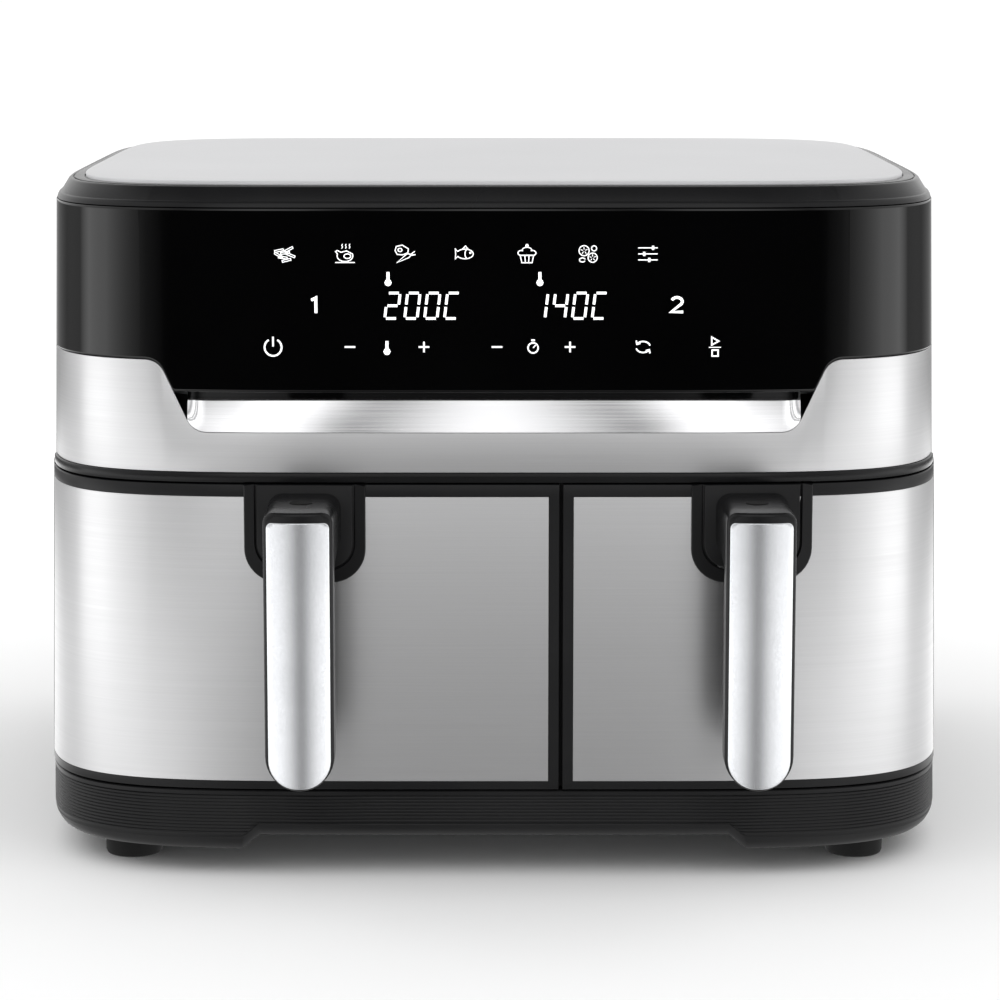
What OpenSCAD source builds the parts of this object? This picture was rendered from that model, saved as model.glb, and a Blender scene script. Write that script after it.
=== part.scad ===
// Dual-drawer air fryer: two frying drawers of different widths side by side in one housing,
// each with its own heater and fan under a shared control panel.
// Millimetres. +Z is up, the drawers face -Y, and the table is at z = 0.

/* [Housing] */
// Width of the housing at the foot of the drawers
body_w = 412; // [370:1:490]
// Depth of the housing without the handles
body_d = 395; // [340:1:470]
// Height from the table to the top plate
body_h = 307; // [260:1:370]
// How far each side leans in from the foot of the drawers to the top
side_lean = 5.5; // [0:0.5:10]
// Squareness of the rounded outline seen from above
corner_power = 5.8; // [4.5:0.1:7]
// Step from the drawers in to the upper housing
upper_step = 1; // [0.6:0.1:2]
// Wall of the moulded shells
shell_t = 2.6; // [2:0.1:3.6]
// How far back the front pieces wrap round the corners
wrap_d = 64; // [54:1:90]

/* [Heights] */
// Height of the rubber feet
foot_h = 12; // [8:0.5:16]
// Height of the base moulding above its lowest edge
base_h = 27.4; // [24:0.2:36]
// Height of everything above the drawers
upper_h = 130.2; // [120:0.2:160]
// Height of the black trim line over the drawers
trim_h = 4.4; // [3:0.2:8]
// Height of the black ring round the top plate
ring_h = 9.4; // [7:0.2:12]
// Height of the control panel at its sides
panel_h = 66; // [60:1:72]
// How far the middle of the control panel drops below its sides
panel_drop = 13.8; // [10:0.2:18]
// Height of the recess under the control panel
recess_h = 17.6; // [12:0.2:22]

/* [Top and front pieces] */
// Width of the sloping ring round the top plate
ring_w = 11.5; // [8:0.5:16]
// Thickness of the top plate
plate_t = 2.2; // [1.5:0.1:3]
// Thickness of the control panel
panel_t = 2.2; // [1.6:0.1:3]
// Thickness of the brushed steel sheet
steel_t = 0.8; // [0.6:0.1:1.2]
// Half width of the recess where it leaves the panel's side edge
recess_half_w = 146; // [110:1:160]
// How far the recess narrows from top to bottom on each side
recess_slant = 15; // [6:1:20]
// Depth of the recess at its top
recess_depth = 6; // [3:0.5:8]
// Corner radius of the recess and of the panel's drop
recess_r = 9; // [5:0.5:12]

/* [Base] */
// How far the middle of the base is raised above its ends
base_raise = 6.5; // [4:0.5:10]
// Half width of the raised middle of the base
raise_half_w = 108; // [80:1:130]
// Number of ribs round the base
rib_count = 6; // [3:1:8]
// Depth of the grooves between the ribs
rib_depth = 0.6; // [0.4:0.1:1]
// Radius of each rubber foot
foot_r = 13; // [9:0.5:16]

/* [Drawers] */
// Where the gap between the two drawers lies, from the middle
split_x = 29.3; // [0:0.1:60]
// Width of the gap between the two drawers
split_gap = 1.8; // [1:0.1:3]
// Gap above and below each drawer front
drawer_gap = 0.6; // [0.5:0.1:1.5]
// Black margin above the steel of a drawer front
margin_top = 5.4; // [3:0.2:8]
// Black margin below the steel of a drawer front
margin_bottom = 3.7; // [2:0.1:6]
// Black margin beside the gap between the drawers
margin_mid = 4.6; // [3:0.1:7]
// Thickness of the moulded drawer front
front_t = 5; // [4:0.5:7]

/* [Baskets] */
// Space between a basket and the outside of the housing
side_room = 24; // [22:1:34]
// Space between the two baskets
divider_w = 26; // [24:1:36]
// Distance from the front of the housing to the baskets
basket_front = 16; // [14:1:22]
// Length of the baskets from front to back
basket_d = 280; // [240:5:300]
// Wall of the baskets
basket_t = 1.6; // [1.2:0.1:2.4]
// Corner radius of the baskets
basket_r = 36; // [30:1:42]
// Space between the base and the underside of the baskets
basket_lift = 10; // [8:0.5:16]
// Space between the rim of the baskets and the roof of the bay
rim_room = 9; // [8:0.5:16]
// Width of the rim that runs on the rails
rim_w = 4; // [3:0.5:5]
// Space between a basket and its bay on each side
bay_room = 8; // [7:0.5:12]
// Sheet thickness of the bays, reflectors and deck
sheet_t = 1; // [0.8:0.1:1.5]
// Height of the grid above the basket's floor
grid_lift = 15; // [10:1:24]
// Thickness of the grid
grid_t = 2; // [1.5:0.1:3]
// Gap between the grid and the basket's wall
grid_gap = 3; // [2.5:0.5:5]
// Width of the slots in the grid
slot_w = 4; // [3:0.5:6]

/* [Handles] */
// Middle of the left handle from the middle of the housing
left_handle_x = -82.5; // [-120:0.5:-50]
// Middle of the right handle from the middle of the housing
right_handle_x = 112.5; // [80:0.5:140]
// How far the handles stand out from the drawers
handle_reach = 57; // [45:1:70]
// Width of each handle
handle_w = 29.5; // [24:0.5:36]
// Thickness of the upright bar from front to back
handle_bar = 16; // [12:0.5:20]
// Height of the neck that carries the bar
neck_h = 26; // [18:0.5:30]
// Width of the bright insert
insert_w = 25.8; // [18:0.2:30]
// How far the insert sits into the bar
insert_t = 3; // [2:0.2:5]
// Width of the cover plate behind each handle
cover_w = 53; // [44:1:64]
// Height of the cover plate behind each handle
cover_h = 43; // [34:1:52]
// How far the cover plate stands off the steel
cover_t = 1.6; // [1:0.1:2.5]
// Radius of the screw plug on the handle
plug_r = 5; // [4:0.5:6]
// Distance of the handle's screws below its top
screw_drop = 7.5; // [6.5:0.1:9]
// Radius of the handle's screws
screw_r = 2; // [1.5:0.1:2.5]

/* [Heaters and fans] */
// Distance from the front of the housing to the fan axes
fan_back = 170; // [160:1:180]
// Space between a reflector and the side walls of its bay
reflector_room = 6; // [4:1:12]
// Height of the reflectors
reflector_h = 40; // [34:1:46]
// Radius of the heating rod
rod_r = 3.3; // [2.5:0.1:4]
// Space between two turns of the heating rod
rod_pitch = 15; // [11:0.5:18]
// Radius of the motor shafts
shaft_r = 4; // [3:0.1:5]
// Running clearance of the shafts
shaft_fit = 0.05; // [0.02:0.01:0.08]
// Radius of the motors
motor_r = 27; // [22:1:32]
// Height of the motors
motor_h = 30; // [24:1:34]
// Number of blades on the hot-air fans
fan_blades = 8; // [5:1:12]

/* [Electrical] */
// Size of the display board across
display_w = 214; // [180:1:220]
// Height of the display board
display_h = 52; // [44:1:54]
// Size of the main board across
board_w = 210; // [160:5:240]
// Main board from front to back
board_d = 62; // [50:1:70]
// Radius of the plungers of the drawer switches
plunger_r = 2; // [1.5:0.1:2.5]
// Running clearance of the plungers
plunger_fit = 0.08; // [0.04:0.01:0.1]
// Radius of the mains lead's gland
gland_r = 7; // [5:0.5:9]

/* [Hidden] */
$fn = 48;
outline_points = 72;
far = 400;
mid_y = handle_reach / 2;
front_y = mid_y - body_d / 2;
back_y = mid_y + body_d / 2;
half_d = body_d / 2;
base_top = foot_h + base_h;
floor_z = foot_h + base_raise;
ledge_sink = 0.8;
ring_z = body_h - ring_h - (plate_t - ledge_sink);
upper_z = body_h - upper_h;
band_z = upper_z + trim_h;
panel_z = ring_z - panel_h;
drop_z = panel_z - panel_drop;
recess_z = drop_z - recess_h;
front_z0 = base_top + drawer_gap;
front_z1 = upper_z - drawer_gap;
wrap_y = front_y + wrap_d;
ledge_t = 1.4;

bay_roof_z = upper_z - 4;
basket_z = base_top + basket_lift;
rim_z = bay_roof_z - rim_room;
basket_y = front_y + basket_front;
// The basket corners follow the housing's rounded corners, which are drawn for 412 by 395
corner_r = basket_r * (body_w / 412) * (body_d / 395);
bay_y = wrap_y + 2;
bay_back = basket_y + basket_d + bay_room + sheet_t;
left_x0 = -(body_w / 2 - side_room);
left_x1 = split_x - divider_w / 2;
right_x0 = split_x + divider_w / 2;
right_x1 = body_w / 2 - side_room;
left_mid = (left_x0 + left_x1) / 2;
right_mid = (right_x0 + right_x1) / 2;
left_basket_w = left_x1 - left_x0;
right_basket_w = right_x1 - right_x0;
fan_y = front_y + fan_back;
rail_top = rim_z - basket_t - 0.3;
rail_h = 2.5;
deck_z = bay_roof_z + reflector_h + sheet_t;
handle_top = front_z1 - 3.6;
handle_z = front_z0 + 13;
grid_z = basket_z + basket_t + grid_lift;
bumper_h = grid_lift;

soft_black = [0.06, 0.06, 0.065];
deep_black = [0.02, 0.02, 0.022];
bright_steel = [0.74, 0.75, 0.76];
sheet_steel = [0.55, 0.56, 0.57];

// ---- outline of the housing -------------------------------------------------------------

// Half width of the drawers and base at a height
function half_w(z) = body_w / 2 - side_lean * (z - base_top) / (body_h - base_top);

// One coordinate of a superellipse
function bulge(t) = sign(t) * pow(abs(t), 2 / corner_power);

// The rounded outline seen from above
function outline(hw, hd) = [for (i = [0 : outline_points - 1])
    let (a = 360 * i / outline_points) [hw * bulge(cos(a)), hd * bulge(sin(a))]];

// Solid slice of the housing between two heights, set in from the outside by inset0 and inset1
module slice(z0, z1, inset0, inset1) {
    hw0 = half_w(z0) - inset0;
    hd0 = half_d - inset0;
    grow = [(half_w(z1) - inset1) / hw0, (half_d - inset1) / hd0];
    translate([0, mid_y, z0])
        linear_extrude(z1 - z0, scale = grow, slices = 1)
            polygon(outline(hw0, hd0));
}

// Upright slice with plain extruded walls
module straight_slice(z0, z1, inset) {
    translate([0, mid_y, z0])
        linear_extrude(z1 - z0)
            polygon(outline(half_w(z0) - inset, half_d - inset));
}

// Skin of the housing between two heights, from one inset to a deeper one
module skin(z0, z1, out, in) {
    difference() {
        slice(z0, z1, out, out);
        slice(z0 - 1, z1 + 1, in, in);
    }
}

// Everything in front of a plane, between two heights
module ahead_of(y, z0, z1) {
    translate([-far, front_y - 10, z0])
        cube([2 * far, y - front_y + 10, z1 - z0]);
}

// A box given by its two corners
module block(lo, hi) {
    translate(lo)
        cube([hi[0] - lo[0], hi[1] - lo[1], hi[2] - lo[2]]);
}

// An outline in X and Z pushed through in Y
module upright(y0, y1, points) {
    translate([0, y1, 0])
        rotate([90, 0, 0])
            linear_extrude(y1 - y0)
                polygon(points);
}

function unit(v) = v / norm(v);

// Points of the arc that rounds corner b between a and c
function rounded_corner(a, b, c, r) =
    let (u = unit(a - b), v = unit(c - b), open = acos(u * v), turn = 180 - open,
        middle = b + unit(u + v) * r / sin(open / 2),
        from = unit(b + u * r / tan(open / 2) - middle), to = unit(b + v * r / tan(open / 2) - middle))
    [for (i = [0 : 6]) middle
        + r * (sin((1 - i / 6) * turn) * from + sin(i / 6 * turn) * to) / sin(turn)];

// Edge of the recess from the left to the right, with its foot at a height, grown outward
function recess_edge(z, grow) =
    let (foot_z = z - grow, slant = recess_slant * (panel_z - foot_z) / (panel_z - recess_z),
        a = [-half_w(0), panel_z], b = [-recess_half_w - grow, panel_z],
        c = [-(recess_half_w + grow - slant), foot_z], d = [0, foot_z],
        r_foot = min(recess_r, (panel_z - foot_z) * 0.45),
        left = concat(rounded_corner(a, b, c, recess_r), rounded_corner(b, c, d, r_foot)))
    concat(left, [for (i = [len(left) - 1 : -1 : 0]) [-left[i][0], left[i][1]]]);

// Rounded rectangle between two corners
module pad(x0, x1, y0, y1, r) {
    translate([x0 + r, y0]) square([x1 - x0 - 2 * r, y1 - y0]);
    translate([x0, y0 + r]) square([x1 - x0, y1 - y0 - 2 * r]);
    for (x = [x0 + r, x1 - r])
        for (y = [y0 + r, y1 - r])
            translate([x, y]) circle(r);
}

// ---- housing ----------------------------------------------------------------------------

module foot_places() {
    for (sx = [-1, 1])
        for (y = [front_y + 46, back_y - 46])
            translate([sx * (body_w / 2 - 42), y, 0])
                children();
}

module base_housing() {
    lip_h = 6;
    lap = 0.2;
    rib_z0 = foot_h + lip_h;
    rib_pitch = (base_top - 2 - rib_z0) / rib_count;
    color(soft_black) difference() {
        union() {
            slice(foot_h, rib_z0 + 0.5, 4.5, 1.5);
            for (i = [0 : rib_count - 1]) {
                straight_slice(rib_z0 + i * rib_pitch, rib_z0 + (i + 0.6) * rib_pitch, 0.8);
                straight_slice(rib_z0 + (i + 0.6) * rib_pitch - lap, rib_z0 + (i + 1) * rib_pitch + lap,
                    0.8 + rib_depth);
            }
            straight_slice(base_top - 2, base_top, 0.6);
            foot_places()
                translate([0, 0, foot_h]) cylinder(h = base_raise + 1, r = foot_r + 2);
        }
        straight_slice(floor_z + shell_t, base_top + 1, shell_t + 2);
        difference() {
            straight_slice(foot_h - 1, floor_z, shell_t + 4);
            foot_places()
                translate([0, 0, foot_h]) cylinder(h = base_raise + 1, r = foot_r + 2);
        }
        upright(front_y - 5, back_y + 5, [[-raise_half_w - 4, foot_h - 1], [-raise_half_w + 4, floor_z],
            [raise_half_w - 4, floor_z], [raise_half_w + 4, foot_h - 1]]);
        housing_screws();
    }
}

module rubber_feet() {
    color([0.03, 0.03, 0.03]) foot_places()
        rotate_extrude()
            polygon([[0, 0], [foot_r - 2, 0], [foot_r, 2], [foot_r, foot_h], [0, foot_h]]);
}

// How far the rear wall curves in from the back at an x
function curve_in(x) = half_d * (1 - pow(1 - pow(abs(x) / (body_w / 2), corner_power), 1 / corner_power));

gland_x = body_w / 2 - 80;

module gland_place() {
    translate([gland_x, back_y - curve_in(gland_x), base_top + 30])
        rotate([90, 0, 0])
            children();
}

screw_in = 11;

// Places of the screws that hold the base to the shell, each with +X towards the nearer side wall
module screw_places() {
    for (side = [0, 180])
        for (y = [-1, 1])
            translate([0, mid_y, 0])
                rotate([0, 0, side])
                    translate([body_w / 2 - screw_in, y * (half_d - 110), 0])
                        children();
}

module outer_shell() {
    vent_w = 80;
    vent_pitch = 9;
    color(soft_black) difference() {
        union() {
            skin(base_top, upper_z + 0.01, 0, shell_t + upper_step);
            skin(upper_z, ring_z, upper_step, shell_t + upper_step);
            screw_places() {
                translate([0, 0, floor_z + shell_t])
                    cylinder(h = base_top - floor_z - shell_t - 0.5, r = 4.5);
                block([2, -1.5, floor_z + shell_t + 4], [screw_in - shell_t - 2.6, 1.5, base_top + 14]);
                block([2, -1.5, base_top], [screw_in - shell_t - 0.8, 1.5, base_top + 14]);
            }
        }
        housing_screws();
        ahead_of(wrap_y + 0.6, base_top - 1, ring_z + 1);
        for (side = [left_mid, right_mid])
            for (i = [0 : 7])
                block([side - vent_w / 2, back_y - 12, upper_z + 22 + i * vent_pitch],
                    [side + vent_w / 2, back_y + 2, upper_z + 26 + i * vent_pitch]);
        gland_place() translate([0, 0, -5]) cylinder(h = 25, r = gland_r + 2);
    }
}

module upper_fascia() {
    back = upper_step + panel_t + shell_t;
    color(deep_black) difference() {
        union() {
            intersection() {
                skin(band_z, ring_z, upper_step + panel_t, back);
                ahead_of(wrap_y, band_z - 1, ring_z + 1);
            }
            for (sx = [-1, 1])
                for (z = [panel_z + 10, panel_z + 2 + display_h])
                    translate([sx * (display_w / 2 - 5), board_y, z])
                        rotate([90, 0, 0]) cylinder(h = board_y - front_y - back + 1.2, r = 3);
        }
        block([-recess_half_w - 2, front_y - 5, recess_z - 2],
            [recess_half_w + 2, front_y + 30, drop_z + ledge_t]);
        block([-display_w / 2 + 12, front_y - 5, panel_z + 8],
            [display_w / 2 - 12, front_y + 30, panel_z + 4 + display_h]);
    }
}

module control_panel() {
    color(deep_black) {
        intersection() {
            skin(drop_z, ring_z, upper_step, upper_step + panel_t);
            upright(front_y - 5, wrap_y, concat([[-far, ring_z + 1], [-far, panel_z]], recess_edge(drop_z, 0),
                [[far, panel_z], [far, ring_z + 1]]));
        }
        intersection() {
            skin(drop_z, drop_z + ledge_t, upper_step + 1, upper_step + recess_depth + 1.4);
            upright(front_y - 5, wrap_y, concat([[recess_half_w, panel_z], [-recess_half_w, panel_z]],
                recess_edge(drop_z, 0)));
        }
    }
}

module steel_band() {
    color(bright_steel) intersection() {
        skin(band_z, panel_z, upper_step, upper_step + steel_t);
        upright(front_y - 5, wrap_y, concat([[far, panel_z], [far, band_z], [-far, band_z], [-far, panel_z]],
            recess_edge(recess_z, 0)));
    }
}

// Sloping polished strip with a rim that stands behind the edge of the steel band
module recess_strip() {
    rim = 1.2;
    color(bright_steel) {
        intersection() {
            difference() {
                slice(recess_z, drop_z, upper_step + steel_t, upper_step + recess_depth);
                slice(recess_z - 0.01, drop_z + 0.01, upper_step + steel_t + 1.4,
                    upper_step + recess_depth + 1.4);
            }
            upright(front_y - 5, wrap_y, concat([[recess_half_w, panel_z + 1], [-recess_half_w, panel_z + 1]],
                recess_edge(recess_z, 0)));
        }
        intersection() {
            skin(recess_z - rim, drop_z, upper_step + steel_t, upper_step + recess_depth + 1.4);
            difference() {
                upright(front_y - 5, wrap_y, recess_edge(recess_z, rim));
                upright(front_y - 6, wrap_y + 1, recess_edge(recess_z, 0));
            }
        }
    }
}

module trim_strip() {
    color(deep_black) intersection() {
        skin(upper_z, band_z, 0.2, shell_t + 5);
        ahead_of(wrap_y, upper_z - 1, band_z + 1);
    }
}

module top_ring() {
    lip_h = 2.8;
    slope_z = ring_z + lip_h;
    ledge_z = body_h - plate_t;
    top_z = body_h - plate_t + ledge_sink;
    color(deep_black) difference() {
        union() {
            straight_slice(ring_z, slope_z, upper_step + 0.5);
            slice(slope_z, top_z, upper_step + 0.4, upper_step + ring_w);
        }
        straight_slice(ledge_z, top_z + 1, upper_step + ring_w + 0.6);
        straight_slice(ring_z - 1, ledge_z + 1, upper_step + ring_w + 6);
    }
}

module top_plate() {
    color([0.78, 0.78, 0.79])
        straight_slice(body_h - plate_t, body_h, upper_step + ring_w + 1);
}

// ---- inside of the housing --------------------------------------------------------------

module switch_place(side) {
    translate([split_x + side * 3.9, front_y + 9, bay_roof_z - 24])
        children();
}

module bay_frame() {
    in = shell_t + upper_step + 0.3;
    post_w = divider_w - 2 * rim_w - 2;
    color(soft_black) difference() {
        union() {
            intersection() {
                slice(base_top, bay_roof_z, in, in);
                block([-far, bay_y, base_top], [far, bay_y + 3, bay_roof_z]);
            }
            intersection() {
                straight_slice(bay_roof_z, upper_z, front_t + steel_t + 0.9);
                ahead_of(bay_y + 3, bay_roof_z, upper_z);
            }
            block([split_x - post_w / 2, front_y + 9, base_top],
                [split_x + post_w / 2, bay_y + 1, bay_roof_z + 0.1]);
        }
        block([left_x0 - bay_room, bay_y - 1, base_top + 2],
            [left_x1 + rim_w + 1, bay_y + 4, bay_roof_z]);
        block([right_x0 - rim_w - 1, bay_y - 1, base_top + 2],
            [right_x1 + bay_room, bay_y + 4, bay_roof_z]);
        for (side = [-1, 1])
            switch_place(side) {
                block([-3.2, 3, -8.2], [3.2, 24.2, 8.2]);
                translate([0, -1, 0]) rotate([-90, 0, 0]) cylinder(h = 6, r = plunger_r + 0.4);
            }
    }
}

// Sheet-steel bay for one basket, open at the front, with a round hole in its roof
module bay(x0, x1, room0, room1, mid, hole_r) {
    color(sheet_steel) difference() {
        block([x0 - room0 - sheet_t, bay_y + 3, base_top], [x1 + room1 + sheet_t, bay_back, bay_roof_z]);
        block([x0 - room0, bay_y, base_top + sheet_t],
            [x1 + room1, bay_back - sheet_t, bay_roof_z - sheet_t]);
        translate([mid, fan_y, bay_roof_z - 5]) cylinder(h = 10, r = hole_r);
        translate([mid, fan_y + hole_r + 12, bay_roof_z - 5]) cylinder(h = 10, r = probe_r);
    }
}

probe_r = 2;

flange_w = 5;
probe_room = 20;
// Largest round opening that clears the bay frame's roof in front and the probe behind
deepest_hole_r = min(fan_y - bay_y - 3 - flange_w - 1, bay_back - sheet_t - fan_y - probe_room);
left_hole_r = min(left_basket_w / 2 - reflector_room, deepest_hole_r);
right_hole_r = min(right_basket_w / 2 - reflector_room, deepest_hole_r);
mid_room = rim_w + 2.5;

module left_bay() {
    bay(left_x0, left_x1, bay_room, mid_room, left_mid, left_hole_r);
}

module right_bay() {
    bay(right_x0, right_x1, mid_room, bay_room, right_mid, right_hole_r);
}

module rail(x_wall, x_in) {
    block([min(x_wall, x_in), bay_y + 4, rail_top - rail_h],
        [max(x_wall, x_in), bay_back - sheet_t, rail_top]);
}

module drawer_rails() {
    color(sheet_steel) {
        rail(left_x0 - bay_room, left_x0 - 1.5);
        rail(left_x1 + mid_room, left_x1 + 1.5);
        rail(right_x0 - mid_room, right_x0 - 1.5);
        rail(right_x1 + bay_room, right_x1 + 1.5);
    }
}

module deck_plate() {
    in = upper_step + recess_depth + 6;
    color(sheet_steel) difference() {
        straight_slice(deck_z, deck_z + 1.2, in);
        for (mid = [left_mid, right_mid])
            translate([mid, fan_y, deck_z - 1])
                cylinder(h = 4, r = shaft_r + 3);
    }
}

// Round pan over a heater that throws the heat down
module reflector(mid, r) {
    color(sheet_steel) translate([mid, fan_y, bay_roof_z])
        rotate_extrude($fn = 96)
            polygon([[r + flange_w, 0], [r + flange_w, sheet_t], [r + sheet_t, sheet_t],
                [r + sheet_t, reflector_h + sheet_t],
                [shaft_r + 3, reflector_h + sheet_t], [shaft_r + 3, reflector_h], [r, reflector_h], [r, 0]]);
}

module left_reflector() {
    reflector(left_mid, left_hole_r);
}

module right_reflector() {
    reflector(right_mid, right_hole_r);
}

// Ring-shaped heating rod with two terminals that go up through the deck
module heater(mid, r, turns) {
    color([0.35, 0.35, 0.36]) translate([mid, fan_y, bay_roof_z + 9]) {
        for (i = [0 : turns - 1])
            rotate_extrude($fn = 96)
                translate([r - 9 - i * rod_pitch, 0]) circle(rod_r, $fn = 24);
        translate([0, r - 9 - (turns - 1) * rod_pitch, -rod_r / 2])
            rotate([-90, 0, 0])
                cylinder(h = (turns - 1) * rod_pitch, r = rod_r * 0.9);
        for (side = [-1, 1])
            translate([side * 10, sqrt(pow(r - 9, 2) - 100), 0])
                cylinder(h = reflector_h - 12, r = rod_r * 0.95);
    }
}

module left_heater() {
    heater(left_mid, left_hole_r, 3);
}

module right_heater() {
    heater(right_mid, right_hole_r, 2);
}

// Wire guard under a heater: rings on four spokes
module guard(mid, r) {
    wire = 1.6;
    rings = floor((r - 12) / 11);
    color(bright_steel) translate([mid, fan_y, bay_roof_z - sheet_t - 0.1 - wire]) {
        for (i = [0 : rings])
            difference() {
                cylinder(h = wire, r = r + 3 - i * 11);
                translate([0, 0, -1]) cylinder(h = wire + 2, r = r + 1.2 - i * 11);
            }
        for (a = [0 : 45 : 135])
            rotate([0, 0, a])
                translate([-r - 2.4, -wire / 2, 0])
                    cube([2 * r + 4.8, wire, wire]);
    }
}

module left_guard() {
    guard(left_mid, left_hole_r);
}

module right_guard() {
    guard(right_mid, right_hole_r);
}

motor_z = deck_z + 6;

// Motor on four short legs over the deck, bored for its shaft
module motor(mid) {
    color([0.45, 0.45, 0.47]) translate([mid, fan_y, 0]) difference() {
        union() {
            translate([0, 0, motor_z]) cylinder(h = motor_h, r = motor_r);
            for (a = [45 : 90 : 315])
                rotate([0, 0, a])
                    translate([motor_r - 5, 0, deck_z + 1.2])
                        cylinder(h = motor_z - deck_z, r = 3.5);
        }
        translate([0, 0, deck_z]) cylinder(h = motor_h + 20, r = shaft_r + shaft_fit);
    }
}

module left_motor() {
    motor(left_mid);
}

module right_motor() {
    motor(right_mid);
}

shaft_z = bay_roof_z + 16;
shaft_top = motor_z + motor_h + 15;

module motor_shaft(mid) {
    color(bright_steel) translate([mid, fan_y, shaft_z])
        cylinder(h = shaft_top - shaft_z, r = shaft_r);
}

module left_motor_shaft() {
    motor_shaft(left_mid);
}

module right_motor_shaft() {
    motor_shaft(right_mid);
}

// Fan with flat upright blades on a disc and a hub that takes the shaft
module blade_fan(mid, z, r, h, blades, disc_t) {
    hub_r = shaft_r + 4;
    color(sheet_steel) translate([mid, fan_y, z]) difference() {
        union() {
            cylinder(h = disc_t, r = r * 0.96);
            cylinder(h = h, r = hub_r);
            for (i = [0 : blades - 1])
                rotate([0, 0, i * 360 / blades])
                    translate([hub_r - 1, -0.6, disc_t / 2])
                        cube([r - hub_r + 1, 1.2, h - disc_t]);
        }
        translate([0, 0, -1]) cylinder(h = h + 2, r = shaft_r);
    }
}

module left_hot_fan() {
    blade_fan(left_mid, bay_roof_z + 19, left_hole_r - 14, 12, fan_blades, 1.2);
}

module right_hot_fan() {
    blade_fan(right_mid, bay_roof_z + 19, right_hole_r - 14, 12, fan_blades, 1.2);
}

module left_cooling_fan() {
    blade_fan(left_mid, motor_z + motor_h + 3, 36, 9, fan_blades - 1, 1);
}

module right_cooling_fan() {
    blade_fan(right_mid, motor_z + motor_h + 3, 36, 9, fan_blades - 1, 1);
}

// ---- electrical parts -------------------------------------------------------------------

board_y = front_y + upper_step + panel_t + shell_t + 3.2;

module display_board() {
    color([0.05, 0.25, 0.12])
        block([-display_w / 2, board_y, panel_z + 6],
            [display_w / 2, board_y + 1.6, panel_z + 6 + display_h]);
}

module led_modules() {
    color([0.12, 0.12, 0.12])
        for (x = [-30.6, 35])
            block([x - 20, board_y - 3, panel_z + 17], [x + 20, board_y, panel_z + 32]);
}

main_y = back_y - 24 - board_d;

module main_board() {
    color([0.08, 0.3, 0.15]) {
        block([-board_w / 2, main_y, deck_z + 8], [board_w / 2, main_y + board_d, deck_z + 9.6]);
        for (sx = [-1, 1])
            for (y = [main_y + 6, main_y + board_d - 6])
                translate([sx * (board_w / 2 - 8), y, deck_z + 1.2])
                    cylinder(h = 7, r = 3);
    }
}

module board_parts() {
    z = deck_z + 9.6;
    color([0.1, 0.2, 0.5]) {
        block([-90, main_y + 10, z], [-52, main_y + 42, z + 28]);
        for (i = [0 : 3])
            block([-36 + i * 22, main_y + 12, z], [-19 + i * 22, main_y + 30, z + 16]);
        for (i = [0 : 2])
            translate([62 + i * 14, main_y + 40, z]) cylinder(h = 20, r = 5);
    }
}

module drawer_switches() {
    color([0.1, 0.1, 0.12])
        for (side = [-1, 1])
            switch_place(side) difference() {
                block([-3, 3.2, -8], [3, 24, 8]);
                translate([0, 2, 0]) rotate([-90, 0, 0]) cylinder(h = 12, r = plunger_r + plunger_fit);
            }
}

module plunger(side) {
    color([0.8, 0.2, 0.15])
        switch_place(side)
            translate([0, -0.6, 0]) rotate([-90, 0, 0]) cylinder(h = 10, r = plunger_r);
}

module left_switch_plunger() {
    plunger(-1);
}

module right_switch_plunger() {
    plunger(1);
}

module temperature_probes() {
    color(bright_steel)
        for (place = [[left_mid, left_hole_r], [right_mid, right_hole_r]])
            translate([place[0], fan_y + place[1] + 12, bay_roof_z]) {
                translate([0, 0, -5]) cylinder(h = 18, r = probe_r);
                cylinder(h = 3, r = 5);
            }
}

module cord_gland() {
    inside = shell_t + upper_step + 2;
    color(deep_black)
        gland_place() difference() {
            union() {
                cylinder(h = inside + 6, r = gland_r + 1.9);
                translate([0, 0, inside]) cylinder(h = 2.5, r = gland_r + 5);
            }
            translate([0, 0, -1]) cylinder(h = 30, r = gland_r - 3);
        }
}

module housing_screws() {
    color(sheet_steel)
        screw_places()
            translate([0, 0, floor_z - 2]) {
                cylinder(h = 2, r = 4);
                cylinder(h = 15, r = 1.8);
            }
}

// ---- drawers ----------------------------------------------------------------------------

// The part of the front on one side of the gap, from x0 to x1, between two heights
module front_piece(x0, x1, z0, z1, out, in, y_end) {
    intersection() {
        skin(z0, z1, out, in);
        block([x0, front_y - 5, z0 - 1], [x1, y_end, z1 + 1]);
    }
}

// Moulded drawer front: a curved wall with a bar that carries the basket and presses the switch
module front_frame(x0, x1, bx0, bx1, side) {
    color(soft_black) {
        front_piece(x0, x1, front_z0, front_z1, steel_t, steel_t + front_t, wrap_y);
        front_piece(x0, x1, front_z0, front_z0 + margin_bottom, 0, front_t, wrap_y);
        front_piece(x0, x1, front_z1 - margin_top, front_z1, 0, front_t, wrap_y);
        front_piece(side < 0 ? x1 - margin_mid : x0, side < 0 ? x1 : x0 + margin_mid,
            front_z0, front_z1, 0, front_t, wrap_y);
        intersection() {
            block([bx0 + corner_r, front_y, rim_z - 34], [bx1 - corner_r, basket_y, rim_z - 8]);
            straight_slice(rim_z - 40, rim_z, steel_t + 2);
        }
        switch_place(side) block([-2.5, -5, -4], [2.5, -0.9, 4]);
    }
}

left_edge_x = split_x - split_gap / 2;
right_edge_x = split_x + split_gap / 2;

module left_front_frame() {
    difference() {
        front_frame(-far, left_edge_x, left_x0, left_x1, -1);
        screw_holes(left_handle_x);
    }
}

module right_front_frame() {
    difference() {
        front_frame(right_edge_x, far, right_x0, right_x1, 1);
        screw_holes(right_handle_x);
    }
}

module front_skin(x0, x1) {
    color(bright_steel)
        front_piece(x0, x1, front_z0 + margin_bottom, front_z1 - margin_top, 0, steel_t, wrap_y - 1.5);
}

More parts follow.
